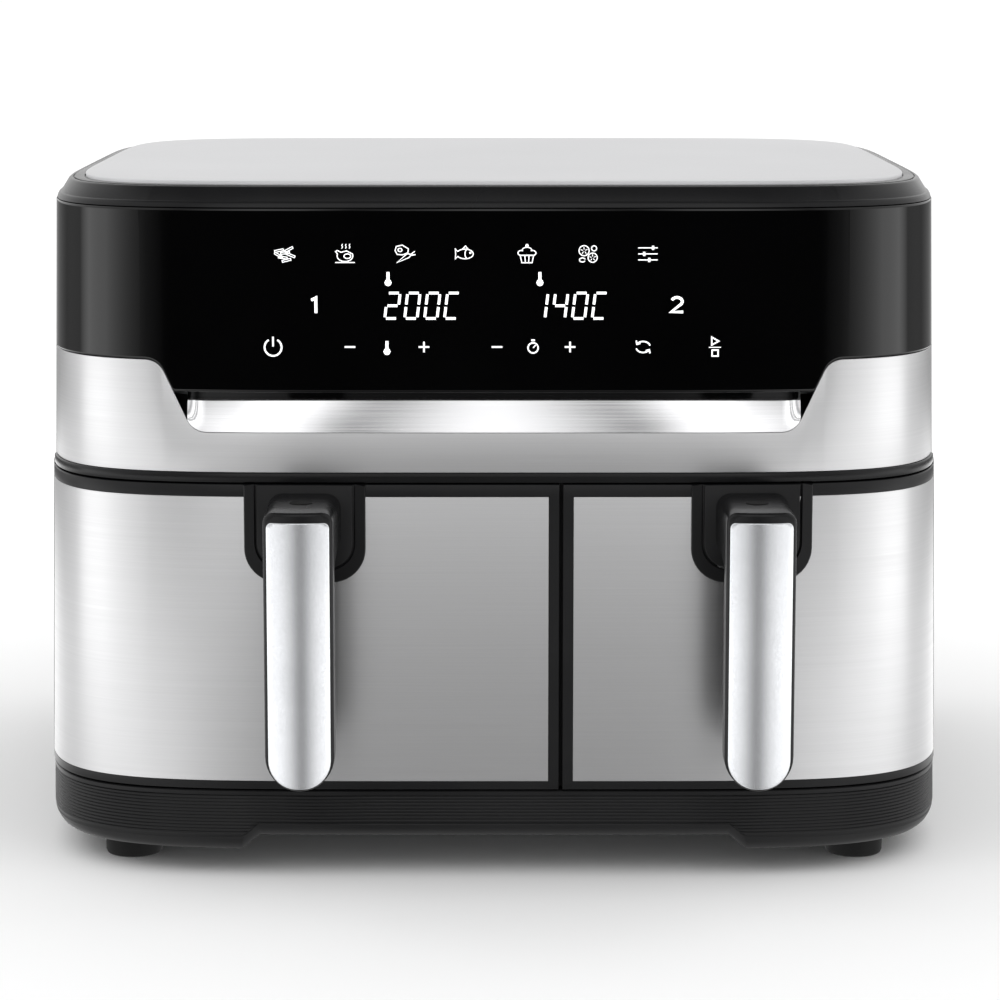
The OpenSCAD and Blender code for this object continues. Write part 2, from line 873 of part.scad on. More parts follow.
module left_front_skin() {
    difference() {
        front_skin(-far, left_edge_x - margin_mid);
        screw_holes(left_handle_x);
    }
}

module right_front_skin() {
    difference() {
        front_skin(right_edge_x + margin_mid, far);
        screw_holes(right_handle_x);
    }
}

// Cover plate behind a handle: a U hanging from the top edge of the drawer front
module handle_cover(x) {
    color(deep_black) intersection() {
        skin(front_z1 - cover_h, front_z1 - 0.01, -cover_t, 0);
        upright(front_y - 5, front_y + 40, concat([[x + cover_w / 2, front_z1], [x - cover_w / 2, front_z1]],
            rounded_corner([x - cover_w / 2, front_z1], [x - cover_w / 2, front_z1 - cover_h],
                [x, front_z1 - cover_h], 14),
            rounded_corner([x, front_z1 - cover_h], [x + cover_w / 2, front_z1 - cover_h],
                [x + cover_w / 2, front_z1], 14)));
    }
}

module left_handle_cover() {
    difference() {
        handle_cover(left_handle_x);
        screw_holes(left_handle_x);
    }
}

module right_handle_cover() {
    difference() {
        handle_cover(right_handle_x);
        screw_holes(right_handle_x);
    }
}

// Outline of a handle's bar seen from the front: small corners at the top, round at the foot
module bar_outline(x, z0, z1, w, r_top) {
    polygon(concat(
        rounded_corner([x, z1], [x - w / 2, z1], [x - w / 2, z0], r_top),
        rounded_corner([x - w / 2, z1], [x - w / 2, z0], [x, z0], w / 2 - 0.2),
        rounded_corner([x, z0], [x + w / 2, z0], [x + w / 2, z1], w / 2 - 0.2),
        rounded_corner([x + w / 2, z0], [x + w / 2, z1], [x, z1], r_top)));
}

module bar(x, y0, y1, z0, z1, w, r_top) {
    translate([0, y1, 0])
        rotate([90, 0, 0])
            linear_extrude(y1 - y0)
                bar_outline(x, z0, z1, w, r_top);
}

handle_y = front_y - handle_reach;
insert_z = handle_top - 2.6;

module handle(x) {
    neck_w = handle_w - 3;
    color(soft_black) difference() {
        union() {
            bar(x, handle_y + 0.8, handle_y + handle_bar, handle_z, handle_top, handle_w, 4);
            block([x - neck_w / 2, handle_y + handle_bar - 2, handle_top - neck_h],
                [x + neck_w / 2, front_y + 20, handle_top]);
        }
        bar(x, handle_y - 1, handle_y + insert_t, handle_z + 1.4, insert_z, insert_w, 3);
        translate([x, front_y - handle_reach / 2, handle_top - 1.2]) cylinder(h = 3, r = plug_r);
        slice(handle_top - neck_h - 5, handle_top + 5, -cover_t, -cover_t);
    }
}

module handle_insert(x) {
    color([0.82, 0.82, 0.83])
        bar(x, handle_y, handle_y + insert_t, handle_z + 1.4, insert_z, insert_w, 3);
}

module handle_plug(x) {
    color(deep_black)
        translate([x, front_y - handle_reach / 2, handle_top - 1.2]) cylinder(h = 1.3, r = plug_r - 0.1);
}

module screw_row(x) {
    for (side = [-1, 1])
        translate([x + side * 8, front_y + curve_in(abs(x) + 8) + front_t + steel_t + 1,
                handle_top - screw_drop])
            rotate([90, 0, 0])
                children();
}

// Two screws that come from inside the drawer front into the neck
module handle_screws(x) {
    color(sheet_steel) screw_row(x) {
        translate([0, 0, -2]) cylinder(h = 2, r = screw_r * 2);
        cylinder(h = front_t + cover_t + 12, r = screw_r);
    }
}

module screw_holes(x) {
    screw_row(x) translate([0, 0, -4]) cylinder(h = 30, r = screw_r + 0.2);
}

module left_handle() {
    difference() {
        handle(left_handle_x);
        handle_screws(left_handle_x);
    }
}

module right_handle() {
    difference() {
        handle(right_handle_x);
        handle_screws(right_handle_x);
    }
}

module left_handle_insert() {
    handle_insert(left_handle_x);
}

module right_handle_insert() {
    handle_insert(right_handle_x);
}

module left_handle_plug() {
    handle_plug(left_handle_x);
}

module right_handle_plug() {
    handle_plug(right_handle_x);
}

module left_handle_screws() {
    handle_screws(left_handle_x);
}

module right_handle_screws() {
    handle_screws(right_handle_x);
}

// Deep tray with a rim along its sides that runs on the rails
module basket(x0, x1) {
    y1 = basket_y + basket_d;
    color([0.09, 0.09, 0.095]) difference() {
        union() {
            translate([0, 0, basket_z])
                linear_extrude(rim_z - basket_z) pad(x0, x1, basket_y, y1, corner_r);
            translate([0, 0, rim_z - basket_t])
                linear_extrude(basket_t) pad(x0 - rim_w, x1 + rim_w, basket_y + corner_r, y1 + 2, 8);
        }
        translate([0, 0, basket_z + basket_t])
            linear_extrude(rim_z - basket_z)
                pad(x0 + basket_t, x1 - basket_t, basket_y + basket_t, y1 - basket_t, corner_r - basket_t);
    }
}

module left_basket() {
    basket(left_x0, left_x1);
}

module right_basket() {
    basket(right_x0, right_x1);
}

bumper_pin_r = 2.2;

// Where the grid's corner feet stand, on the basket's floor
module bumper_places(x0, x1) {
    edge = basket_t + grid_gap + 16;
    for (x = [x0 + edge, x1 - edge])
        for (y = [basket_y + edge, basket_y + basket_d - edge])
            translate([x, y, grid_z - bumper_h])
                children();
}

// Slotted plate that lies over the floor of a basket
module grid(x0, x1) {
    gx0 = x0 + basket_t + grid_gap;
    gx1 = x1 - basket_t - grid_gap;
    gy0 = basket_y + basket_t + grid_gap;
    gy1 = basket_y + basket_d - basket_t - grid_gap;
    slot_pitch = 12;
    columns = floor((gx1 - gx0 - 36) / slot_pitch);
    mid = (gx0 + gx1) / 2;
    slot_l = (gy1 - gy0 - 60) / 3;
    color([0.1, 0.1, 0.105]) difference() {
        translate([0, 0, grid_z])
            linear_extrude(grid_t) pad(gx0, gx1, gy0, gy1, corner_r - basket_t - grid_gap);
        for (c = [0 : columns])
            for (row = [0 : 2])
                translate([mid + (c - columns / 2) * slot_pitch, gy0 + 20 + row * (slot_l + 10), grid_z - 1])
                    block([-slot_w / 2, 0, 0], [slot_w / 2, slot_l, grid_t + 2]);
        bumper_places(x0, x1)
            cylinder(h = 20, r = bumper_pin_r);
    }
}

module left_grid() {
    grid(left_x0, left_x1);
}

module right_grid() {
    grid(right_x0, right_x1);
}

// Silicone corner feet that hold the grid off the basket
module grid_bumpers(x0, x1) {
    color([0.55, 0.1, 0.08])
        bumper_places(x0, x1) {
            cylinder(h = bumper_h, r = 5);
            cylinder(h = bumper_h + grid_t + 1.5, r = bumper_pin_r);
            translate([0, 0, bumper_h + grid_t]) cylinder(h = 1.5, r = 4.4);
        }
}

module left_grid_bumpers() {
    grid_bumpers(left_x0, left_x1);
}

module right_grid_bumpers() {
    grid_bumpers(right_x0, right_x1);
}

base_housing();
rubber_feet();
outer_shell();
upper_fascia();
control_panel();
steel_band();
recess_strip();
trim_strip();
top_ring();
top_plate();
bay_frame();
left_bay();
right_bay();
drawer_rails();
deck_plate();
left_reflector();
right_reflector();
left_heater();
right_heater();
left_guard();
right_guard();
left_motor();
right_motor();
left_motor_shaft();
right_motor_shaft();
left_hot_fan();
right_hot_fan();
left_cooling_fan();
right_cooling_fan();
display_board();
led_modules();
main_board();
board_parts();
drawer_switches();
left_switch_plunger();
right_switch_plunger();
temperature_probes();
cord_gland();
housing_screws();
left_front_frame();
left_front_skin();
left_handle_cover();
left_handle();
left_handle_insert();
left_handle_plug();
left_handle_screws();
left_basket();
left_grid();
left_grid_bumpers();
right_front_frame();
right_front_skin();
right_handle_cover();
right_handle();
right_handle_insert();
right_handle_plug();
right_handle_screws();
right_basket();
right_grid();
right_grid_bumpers();
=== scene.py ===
import math

import bmesh
import bpy
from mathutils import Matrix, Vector


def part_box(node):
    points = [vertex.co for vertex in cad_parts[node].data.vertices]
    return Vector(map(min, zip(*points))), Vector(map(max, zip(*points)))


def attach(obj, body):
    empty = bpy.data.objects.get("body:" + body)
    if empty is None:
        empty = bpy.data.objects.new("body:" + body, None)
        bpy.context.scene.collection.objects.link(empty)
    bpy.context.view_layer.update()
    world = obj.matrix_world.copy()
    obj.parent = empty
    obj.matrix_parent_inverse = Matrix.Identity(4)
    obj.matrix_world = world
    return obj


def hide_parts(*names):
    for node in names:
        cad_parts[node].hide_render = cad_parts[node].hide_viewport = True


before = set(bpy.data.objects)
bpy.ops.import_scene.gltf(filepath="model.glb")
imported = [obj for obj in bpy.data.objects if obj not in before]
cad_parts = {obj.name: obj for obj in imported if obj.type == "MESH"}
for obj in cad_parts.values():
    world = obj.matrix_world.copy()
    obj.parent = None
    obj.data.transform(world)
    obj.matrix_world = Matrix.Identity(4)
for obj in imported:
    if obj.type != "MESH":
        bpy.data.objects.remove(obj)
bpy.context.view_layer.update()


# ---- Camera, light and table ------------------------------------------------------------
# A long lens a little above the appliance, looking straight at its front. A pale table, a wide
# soft light from above, and a white room with a dim stretch straight ahead of the front.

shell_lo, shell_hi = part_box("outer_shell")
FRONT_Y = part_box("left_front_frame")[0].y
BACK_Y = shell_hi.y
camera_data = bpy.data.cameras.new("camera")
camera_data.lens = 122.4
camera_data.sensor_width = 36
camera_data.shift_x = 0.006
camera_data.clip_end = 50
camera = bpy.data.objects.new("camera", camera_data)
camera.location = (0, FRONT_Y - 1.462, 0.401)
camera.rotation_euler = (math.radians(81), 0, 0)
bpy.context.scene.collection.objects.link(camera)
bpy.context.scene.camera = camera
bpy.context.scene.view_settings.view_transform = "Standard"


daylight = bpy.data.lights.new("daylight", "SUN")
daylight.energy = 1.1
daylight.angle = math.radians(110)
ceiling = bpy.data.objects.new("ceiling_light", daylight)
ceiling.visible_glossy = False
bpy.context.scene.collection.objects.link(ceiling)


def new_material(name):
    mat = bpy.data.materials.new(name)
    mat.use_nodes = True
    return mat, mat.node_tree, mat.node_tree.nodes["Principled BSDF"]


def set_sockets(tree, sockets, values):
    """Sets each named socket to a number or a colour, or joins it to another socket."""
    for name, value in values.items():
        if isinstance(value, bpy.types.NodeSocket):
            tree.links.new(value, sockets[name])
        else:
            sockets[name].default_value = value


def node(tree, kind, values, **settings):
    """A new shader node with its settings made and its sockets filled."""
    made = tree.nodes.new("ShaderNode" + kind)
    for name, setting in settings.items():
        setattr(made, name, setting)
    set_sockets(tree, made.inputs, values)
    return made


def table():
    mesh = bpy.data.meshes.new("table")
    mesh.from_pydata([(-30, -30, 0), (30, -30, 0), (30, 30, 0), (-30, 30, 0)], [], [(0, 1, 2, 3)])
    obj = bpy.data.objects.new("table", mesh)
    obj.visible_glossy = False
    bpy.context.scene.collection.objects.link(obj)
    mat, tree, shader = new_material("table_white")
    set_sockets(tree, shader.inputs, {"Base Color": (0.92, 0.92, 0.92, 1), "Roughness": 0.9,
                                      "Specular IOR Level": 0})
    mesh.materials.append(mat)


table()


def ramp_of(tree, value, *stops):
    """A colour ramp through grey levels, given as (place, brightness) stops."""
    ramp = node(tree, "ValToRGB", {0: value})
    bar = ramp.color_ramp
    while len(bar.elements) < len(stops):
        bar.elements.new(0.5)
    for element, (place, level) in zip(bar.elements, stops):
        element.position = place
        element.color = (level, level, level, 1)
    return ramp.outputs[0]


def maths(tree, operation, *values):
    return node(tree, "Math", dict(enumerate(values)), operation=operation).outputs[0]


def rise(tree, value, start, end, low=0, high=1, way="SMOOTHSTEP"):
    """Goes from low to high as a value goes from start to end."""
    return node(tree, "MapRange", {"Value": value, "From Min": start, "From Max": end, "To Min": low,
                                   "To Max": high}, interpolation_type=way).outputs["Result"]


def between(tree, share, first, second, blend="MIX"):
    """Mixes two colours."""
    return node(tree, "Mix", {0: share, 6: first, 7: second}, data_type="RGBA", blend_type=blend).outputs[2]


def room():
    """White studio. A flag just below eye level darkens a band straight ahead of the appliance."""
    world = bpy.data.worlds.new("room")
    bpy.context.scene.world = world
    world.use_nodes = True
    tree = world.node_tree
    axes = node(tree, "SeparateXYZ", {0: node(tree, "TexCoord", {}).outputs["Generated"]})
    sideways = maths(tree, "ABSOLUTE", axes.outputs["X"], 0)
    turn = maths(tree, "ARCTAN2", sideways, maths(tree, "MULTIPLY", axes.outputs["Y"], -1))
    share = maths(tree, "DIVIDE", turn, math.pi)
    ground = ramp_of(tree, share, (0.0, 0.36), (0.025, 0.42), (0.045, 0.8), (0.09, 1.35), (0.15, 1.9),
                     (0.25, 2.1), (0.4, 1.9), (0.55, 1.4), (0.75, 1.3), (1.0, 1.6))
    flag = ramp_of(tree, share, (0.0, 0.01), (0.16, 0.01), (0.22, 0.2), (0.3, 0.9), (0.4, 1.9),
                   (0.52, 1.9), (0.6, 0.4), (0.75, 0.16), (0.88, 0.2), (1.0, 0.6))
    sky = ramp_of(tree, share, (0.0, 1.4), (0.004, 1.15), (0.009, 0.6), (0.015, 0.15), (0.021, 0.6),
                  (0.028, 1.2), (0.045, 1.45), (0.06, 1.35), (0.09, 0.9), (0.13, 0.4), (0.2, 0.8),
                  (0.45, 1.1), (0.85, 0.75), (1.0, 0.75))
    height = axes.outputs["Z"]
    near = between(tree, 1, ground, rise(tree, height, -0.34, -0.12, 0.45, 1.15), "MULTIPLY")
    lower = between(tree, rise(tree, height, -0.16, -0.135), near, flag)
    whole = between(tree, rise(tree, height, -0.05, 0.0), lower, sky)
    around = tree.nodes["Background"]
    set_sockets(tree, around.inputs, {"Color": whole, "Strength": rise(tree, height, 0.72, 0.95, 1.25, 0.3)})
    plain = node(tree, "Background", {"Color": (1, 1, 1, 1), "Strength": 1.05})
    seen = node(tree, "LightPath", {}).outputs["Is Camera Ray"]
    choose = node(tree, "MixShader", {0: seen, 1: around.outputs[0], 2: plain.outputs[0]})
    tree.links.new(choose.outputs[0], tree.nodes["World Output"].inputs["Surface"])


room()


# ---- Base moulding ----------------------------------------------------------------------
# Black plastic tray that carries everything. Fine horizontal ribs run round it, a smooth lip
# closes its lower edge, and its middle is raised at the front and back.

MM = 0.001
POWER = 5.8
SIDE_LEAN = 5.5 * MM
STEP_IN = MM
FOOT_HALF = shell_hi.x
MID_Y = (FRONT_Y + BACK_Y) / 2
HALF_D = (BACK_Y - FRONT_Y) / 2
BASE_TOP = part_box("base_housing")[1].z
TOP_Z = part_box("top_plate")[1].z
FLAT_HALF = 150 * MM


def half_width(z):
    return FOOT_HALF - SIDE_LEAN * (z - BASE_TOP) / (TOP_Z - BASE_TOP)


def bulge(t):
    return math.copysign(abs(t) ** (2 / POWER), t)


def wall_point(station, z, inset):
    """A point on the housing's rounded wall. A station is an x on the flat front or back, or a turn."""
    kind, place = station
    hw, hd = half_width(z) - inset, HALF_D - inset
    if kind == "turn":
        return Vector((hw * bulge(math.cos(place)), MID_Y + hd * bulge(math.sin(place)), z))
    reach = hd * (1 - (abs(place) / hw) ** POWER) ** (1 / POWER)
    return Vector((place, MID_Y + (reach if kind == "back" else -reach), z))


def turn_at_x(x):
    """Angle on the right front corner where the wall reaches an x, at mid height."""
    return -math.acos((x / half_width(0.15)) ** (POWER / 2))


def turn_at_y(y):
    """Angle on the right side where the wall reaches a y."""
    part = (y - MID_Y) / HALF_D
    return math.asin(math.copysign(abs(part) ** (POWER / 2), part))


def turns(start, end, count):
    """Stations round a corner, spaced evenly along the wall."""
    fine = [start + (end - start) * i / 400 for i in range(401)]
    points = [wall_point(("turn", a), 0.15, 0) for a in fine]
    run = [0.0]
    for p, q in zip(points, points[1:]):
        run.append(run[-1] + (q - p).length)
    found, k = [], 0
    for i in range(count + 1):
        want = run[-1] * i / count
        while k < 399 and run[k + 1] < want:
            k += 1
        share = (want - run[k]) / max(run[k + 1] - run[k], 1e-9)
        found.append(("turn", fine[k] + (fine[k + 1] - fine[k]) * share))
    return found


def across(kind, x0, x1, extra=()):
    """Stations over the flat front or back from x0 to x1, with extra ones where an edge bends."""
    places = [x0, x1] + [x for x in extra if min(x0, x1) < x < max(x0, x1)]
    n = int(abs(x1 - x0) / (10 * MM))
    for i in range(1, n):
        x = x0 + (x1 - x0) * i / n
        if min(abs(x - p) for p in places) > 3 * MM:
            places.append(x)
    places.sort(reverse=x1 < x0)
    return [(kind, x) for x in places]


def mirrored(stations):
    """The same stations on the left half, in the opposite order."""
    return [(kind, math.pi - place if kind == "turn" else -place) for kind, place in reversed(stations)]


def whole_ring(extra=()):
    """Stations all the way round the housing."""
    corner = turns(turn_at_x(FLAT_HALF), -turn_at_x(FLAT_HALF), 90)[1:-1]
    return (across("front", -FLAT_HALF, FLAT_HALF, extra) + corner
            + across("back", FLAT_HALF, -FLAT_HALF, extra) + mirrored(corner))


def show(bm, name, mat, sharp=32):
    """Turns a bmesh into a smooth-shaded piece, crisp where it bends by more than sharp degrees."""
    bmesh.ops.remove_doubles(bm, verts=bm.verts, dist=1e-7)
    bmesh.ops.dissolve_degenerate(bm, edges=bm.edges, dist=1e-7)
    bmesh.ops.recalc_face_normals(bm, faces=bm.faces)
    for f in bm.faces:
        f.smooth = True
    for e in bm.edges:
        if len(e.link_faces) == 2 and e.calc_face_angle(0) > math.radians(sharp):
            e.smooth = False
    mesh = bpy.data.meshes.new(name)
    bm.to_mesh(mesh)
    bm.free()
    mesh.materials.append(mat)
    obj = bpy.data.objects.new(name, mesh)
    bpy.context.scene.collection.objects.link(obj)
    return obj


def skin(bm, rows, closed=False, ring=True):
    """Joins rows of vertices with faces and closes both ends, or with closed joins the last row to the
    first. Each row is a ring, unless ring is False. Gives back the face that closes the last row."""
    n = len(rows[0])
    for a, b in zip(rows, rows[1:] + (rows[:1] if closed else [])):
        for i in range(n if ring else n - 1):
            j = (i + 1) % n
            bm.faces.new((a[i], a[j], b[j], b[i]))
    if not closed:
        bm.faces.new(list(reversed(rows[0])))
        return bm.faces.new(rows[-1])


def sweep(bm, stations, section, closed=False):
    """Carries a closed section, given for each station as (z, inset) pairs, along the wall."""
    skin(bm, [[bm.verts.new(wall_point(s, z, inset)) for z, inset in section(s)] for s in stations], closed)


def soft_box_section(z0, z1, out, inn, r, steps=3, hold=None):
    """Section of a sheet or bar between two heights and two insets, with its outer edges rounded.
    With hold, an extra line that far from each rounded edge keeps the shading between them flat."""
    bends = [math.pi / 2 * i / steps for i in range(steps + 1)]
    arc = [(r - r * math.cos(a), r - r * math.sin(a)) for a in bends]
    low = [(z0 + up, out + back) for up, back in arc]
    high = [(z1 - up, out + back) for up, back in reversed(arc)]
    flat = [(z0 + r + hold, out), (z1 - r - hold, out)] if hold else []
    return [(z0, inn)] + low + flat + high + [(z1, inn)]


def noise(tree, scale, stretch=(1, 1, 1), detail=4, rough=0.6):
    """Noise in the object's own space, stretched along the axes."""
    where = node(tree, "TexCoord", {}).outputs["Object"]
    shape = node(tree, "Mapping", {"Scale": stretch, "Vector": where}).outputs[0]
    return node(tree, "TexNoise", {"Scale": scale, "Detail": detail, "Roughness": rough,
                                   "Vector": shape}).outputs["Fac"]


def spread(tree, value, low, high, start=0.3, end=0.7):
    """Takes a noise value from start..end to low..high."""
    return rise(tree, value, start, end, low, high, "LINEAR")


def dress(tree, shader, shade, dark, light, more, relief=None, depth=0, reach=0.2):
    """Fills in a shader: a noise value that swings by reach about its middle takes the colour from dark
    to light, more holds other sockets, and relief can raise a bump, depth in metres."""
    share = spread(tree, shade, 0, 1, 0.5 - reach, 0.5 + reach)
    colour = between(tree, share, (*dark, 1), (*light, 1))
    set_sockets(tree, shader.inputs, {"Base Color": colour, **more})
    if relief:
        bump = node(tree, "Bump", {"Strength": 1, "Distance": depth, "Height": relief})
        set_sockets(tree, shader.inputs, {"Normal": bump.outputs[0]})


def moulded_plastic(name, dark, light, rough, grain=0.02 * MM, grain_scale=1800, shine=0.24):
    """Moulded plastic: fine mould grain, and a slow change of sheen over the surface."""
    mat, tree, shader = new_material(name)
    slow = noise(tree, 14, detail=3)
    dress(tree, shader, slow, dark, light,
          {"Roughness": spread(tree, slow, *rough), "Specular IOR Level": shine},
          noise(tree, grain_scale, detail=2), grain)
    return mat


base_plastic = moulded_plastic("base_plastic", (0.004, 0.004, 0.0044), (0.007, 0.007, 0.0075), (0.32, 0.42))

LIP = 5.8 * MM
RAISE = 6.5 * MM
RAISE_HALF = 108 * MM
RIB_PITCH = 1.5 * MM
RIB_DEEP = 0.35 * MM
foot_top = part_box("rubber_feet")[1].z


def base_edge(station):
    """Height of the base's lower edge at a station."""
    kind, place = station
    if kind == "turn":
        return foot_top
    share = min(max((abs(place) - RAISE_HALF + 4 * MM) / (8 * MM), 0), 1)
    return foot_top + RAISE * (1 - share)


def base_section(station):
    low, top = base_edge(station), BASE_TOP
    rib_floor, rib_top = low + LIP, top - 2.6 * MM
    wall = 0.6 * MM
    points = [(low + 2.4 * MM, 7.6 * MM), (low, 6.6 * MM), (low, 4.4 * MM), (low + 1.6 * MM, 2.6 * MM),
              (low + 3.6 * MM, 1.5 * MM), (rib_floor - 0.5 * MM, 0.9 * MM), (rib_floor, 1.1 * MM)]
    count = int((rib_top - foot_top - LIP) / RIB_PITCH)
    for i in range(count):
        for part, deep in ((0, 1), (0.25, 0.4), (0.5, 0), (0.8, 0.25)):
            z = rib_top - (count - i - part) * RIB_PITCH
            points.append((z, wall + RIB_DEEP * deep) if z > rib_floor else (rib_floor, 1.1 * MM))
    inner = foot_top + RAISE + 2 * MM
    return points + [(rib_top, wall + RIB_DEEP), (rib_top + 0.4 * MM, 0.5 * MM), (top - 0.5 * MM, 0.4 * MM),
                     (top, 0.9 * MM), (top, 4.6 * MM), (inner, 4.6 * MM), (inner, 7.6 * MM)]


def base_moulding():
    bm = bmesh.new()
    bend = (-4.01, -4, -2, 0, 2, 4, 4.01)
    stations = whole_ring([s * (RAISE_HALF + d * MM) for s in (-1, 1) for d in bend])
    sweep(bm, stations, base_section, closed=True)
    floor = foot_top + RAISE + 1.2 * MM
    skin(bm, [[bm.verts.new(wall_point(s, z, 7 * MM)) for s in stations] for z in (floor, floor + 2.6 * MM)])
    return show(bm, "base_moulding", base_plastic)


base = base_moulding()
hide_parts("base_housing")
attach(base, "housing")


# ---- Rubber feet ------------------------------------------------------------------------
# Four round feet of black rubber pressed into the base, with a rounded lower edge and a
# shallow ring underneath.

rubber = moulded_plastic("foot_rubber", (0.004, 0.004, 0.004), (0.007, 0.007, 0.007), (0.62, 0.8),
                         0.03 * MM, 1200)


def turned(bm, place, profile, steps=48):
    """A turned part: the profile's (radius, height) points spun round an upright axis at place."""
    around = [math.tau * i / steps for i in range(steps)]
    skin(bm, [[bm.verts.new((place[0] + r * math.cos(a), place[1] + r * math.sin(a), place[2] + z))
               for a in around] for r, z in profile])


def rubber_feet():
    bm = bmesh.new()
    lo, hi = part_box("rubber_feet")
    r, h = 13 * MM, hi.z
    for x in (lo.x + r, hi.x - r):
        for y in (lo.y + r, hi.y - r):
            turned(bm, (x, y, 0), [(0, 0.8 * MM), (r - 5 * MM, 0.8 * MM), (r - 4.4 * MM, 0), (r - 2 * MM, 0),
                                   (r - 0.8 * MM, 0.5 * MM), (r - 0.2 * MM, 1.8 * MM), (r, h), (0, h)])
    return show(bm, "rubber_feet_set", rubber)


feet = rubber_feet()
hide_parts("rubber_feet")
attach(feet, "housing")


# ---- Side and rear shell ----------------------------------------------------------------
# One black moulding that wraps the sides and the back, with two rows of air slots at the
# rear. It steps in by a millimetre above the drawers.

shell_plastic = moulded_plastic("shell_plastic", (0.006, 0.006, 0.0065), (0.010, 0.010, 0.011), (0.38, 0.5))
RING_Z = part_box("top_ring")[0].z
UPPER_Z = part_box("trim_strip")[0].z
SLOT_COUNT = 8
SLOT_RISE = 22 * MM
SLOT_PITCH = 9 * MM
SLOT_HALF = 40 * MM
GLAND_HOLE = 9 * MM


def shell():
    bm = bmesh.new()
    corner = turns(turn_at_y(shell_lo.y), -turn_at_x(FLAT_HALF), 70)
    stations = corner[:-1] + across("back", FLAT_HALF, -FLAT_HALF) + mirrored(corner[:-1])
    z0, z1, zs = BASE_TOP + 0.2 * MM, RING_Z, UPPER_Z
    points = [(z0, 3.4 * MM), (z0, 0.5 * MM), (z0 + 0.5 * MM, 0.1 * MM), (0.07, 0), (0.11, 0), (0.15, 0),
              (zs - 0.3 * MM, 0.05 * MM), (zs, 0.3 * MM), (zs + 0.4 * MM, 1.0 * MM), (0.20, 1.0 * MM),
              (0.24, 1.0 * MM), (z1 - 0.4 * MM, 1.05 * MM), (z1, 1.5 * MM), (z1, 3.4 * MM)]
    sweep(bm, stations, lambda s: points)
    return show(bm, "side_and_rear_shell", shell_plastic)


def block(bm, lo, hi):
    """A block between two corners."""
    for v in bmesh.ops.create_cube(bm, size=1)["verts"]:
        v.co = [a + (c + 0.5) * (b - a) for a, b, c in zip(lo, hi, v.co)]


def cut_by(obj, bm):
    """Takes the closed shapes in bm away from a piece."""
    bmesh.ops.recalc_face_normals(bm, faces=bm.faces)
    mesh = bpy.data.meshes.new("cutter")
    bm.to_mesh(mesh)
    bm.free()
    cutter = bpy.data.objects.new("cutter", mesh)
    bpy.context.scene.collection.objects.link(cutter)
    mod = obj.modifiers.new("cut", "BOOLEAN")
    mod.operation = "DIFFERENCE"
    mod.solver = "MANIFOLD"
    mod.object = cutter
    bpy.context.view_layer.update()
    done = bpy.data.meshes.new_from_object(obj.evaluated_get(bpy.context.evaluated_depsgraph_get()))
    obj.modifiers.clear()
    obj.data = done
    bpy.data.objects.remove(cutter)


def middle(name):
    """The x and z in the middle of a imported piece."""
    lo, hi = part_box(name)
    return (lo.x + hi.x) / 2, (lo.z + hi.z) / 2


def cut_openings(obj):
    """Cuts the air slots behind each fan, and the round hole for the lead gland."""
    bm = bmesh.new()
    for mid in (middle("left_reflector")[0], middle("right_reflector")[0]):
        for i in range(SLOT_COUNT):
            z = UPPER_Z + SLOT_RISE + SLOT_PITCH * i
            block(bm, (mid - SLOT_HALF, BACK_Y - 12 * MM, z), (mid + SLOT_HALF, BACK_Y + 2 * MM, z + 4 * MM))
    cut_by(obj, bm)
    bm = bmesh.new()
    x, z = middle("cord_gland")
    around = [math.tau * i / 48 for i in range(48)]
    skin(bm, [[bm.verts.new((x + GLAND_HOLE * math.cos(a), y, z + GLAND_HOLE * math.sin(a))) for a in around]
              for y in (BACK_Y - 20 * MM, BACK_Y + 3 * MM)])
    cut_by(obj, bm)


back_shell = shell()
cut_openings(back_shell)
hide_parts("outer_shell")
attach(back_shell, "housing")


# ---- Top ring and plate -----------------------------------------------------------------
# The black ring closes the top with a broad sloping face between two fine steps. The plate is
# a satin silver sheet let into it.

ring_plastic = moulded_plastic("ring_plastic", (0.003, 0.003, 0.0034), (0.005, 0.005, 0.0055), (0.2, 0.28),
                               0.008 * MM)
plate_lo, plate_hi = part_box("top_plate")
PLATE_IN = 13.4 * MM
RIM_IN = 8 * MM


def top_ring():
    bm = bmesh.new()
    z, top = RING_Z, plate_hi.z - 1.5 * MM
    points = [(z, 22 * MM), (z, 1.8 * MM), (z + 0.3 * MM, 1.4 * MM), (z + 1.3 * MM, 1.6 * MM),
              (z + 2.4 * MM, 2.1 * MM), (z + 2.75 * MM, 2.5 * MM), (z + 3.0 * MM, 3.1 * MM),
              (top - 1.0 * MM, RIM_IN - 1.8 * MM), (top - 0.45 * MM, RIM_IN - 1.2 * MM),
              (top - 0.3 * MM, RIM_IN - 0.6 * MM),
              (top - 0.3 * MM, RIM_IN), (top - 0.8 * MM, RIM_IN + 0.05 * MM),
              (top - 0.8 * MM, RIM_IN + 0.55 * MM), (top - 0.1 * MM, RIM_IN + 0.6 * MM),
              (top, RIM_IN + 0.9 * MM), (top + 0.1 * MM, PLATE_IN - 0.9 * MM), (top, PLATE_IN - 0.5 * MM),
              (top - 0.9 * MM, PLATE_IN - 0.3 * MM), (top - 0.9 * MM, 22 * MM)]
    sweep(bm, whole_ring(), lambda s: points, closed=True)
    return show(bm, "top_ring_moulding", ring_plastic, sharp=30)


ring = top_ring()
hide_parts("top_ring")
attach(ring, "housing")


def satin_metal(name, dark, light, metal, patches, grain, rough, depth):
    """Satin metal: a slow change of shade, and a fine grain that breaks up its reflections."""
    mat, tree, shader = new_material(name)
    slow, fine = noise(tree, patches, detail=2), noise(tree, grain, detail=2)
    dress(tree, shader, slow, dark, light,
          {"Metallic": metal, "Roughness": spread(tree, fine, *rough)}, fine, depth)
    return mat


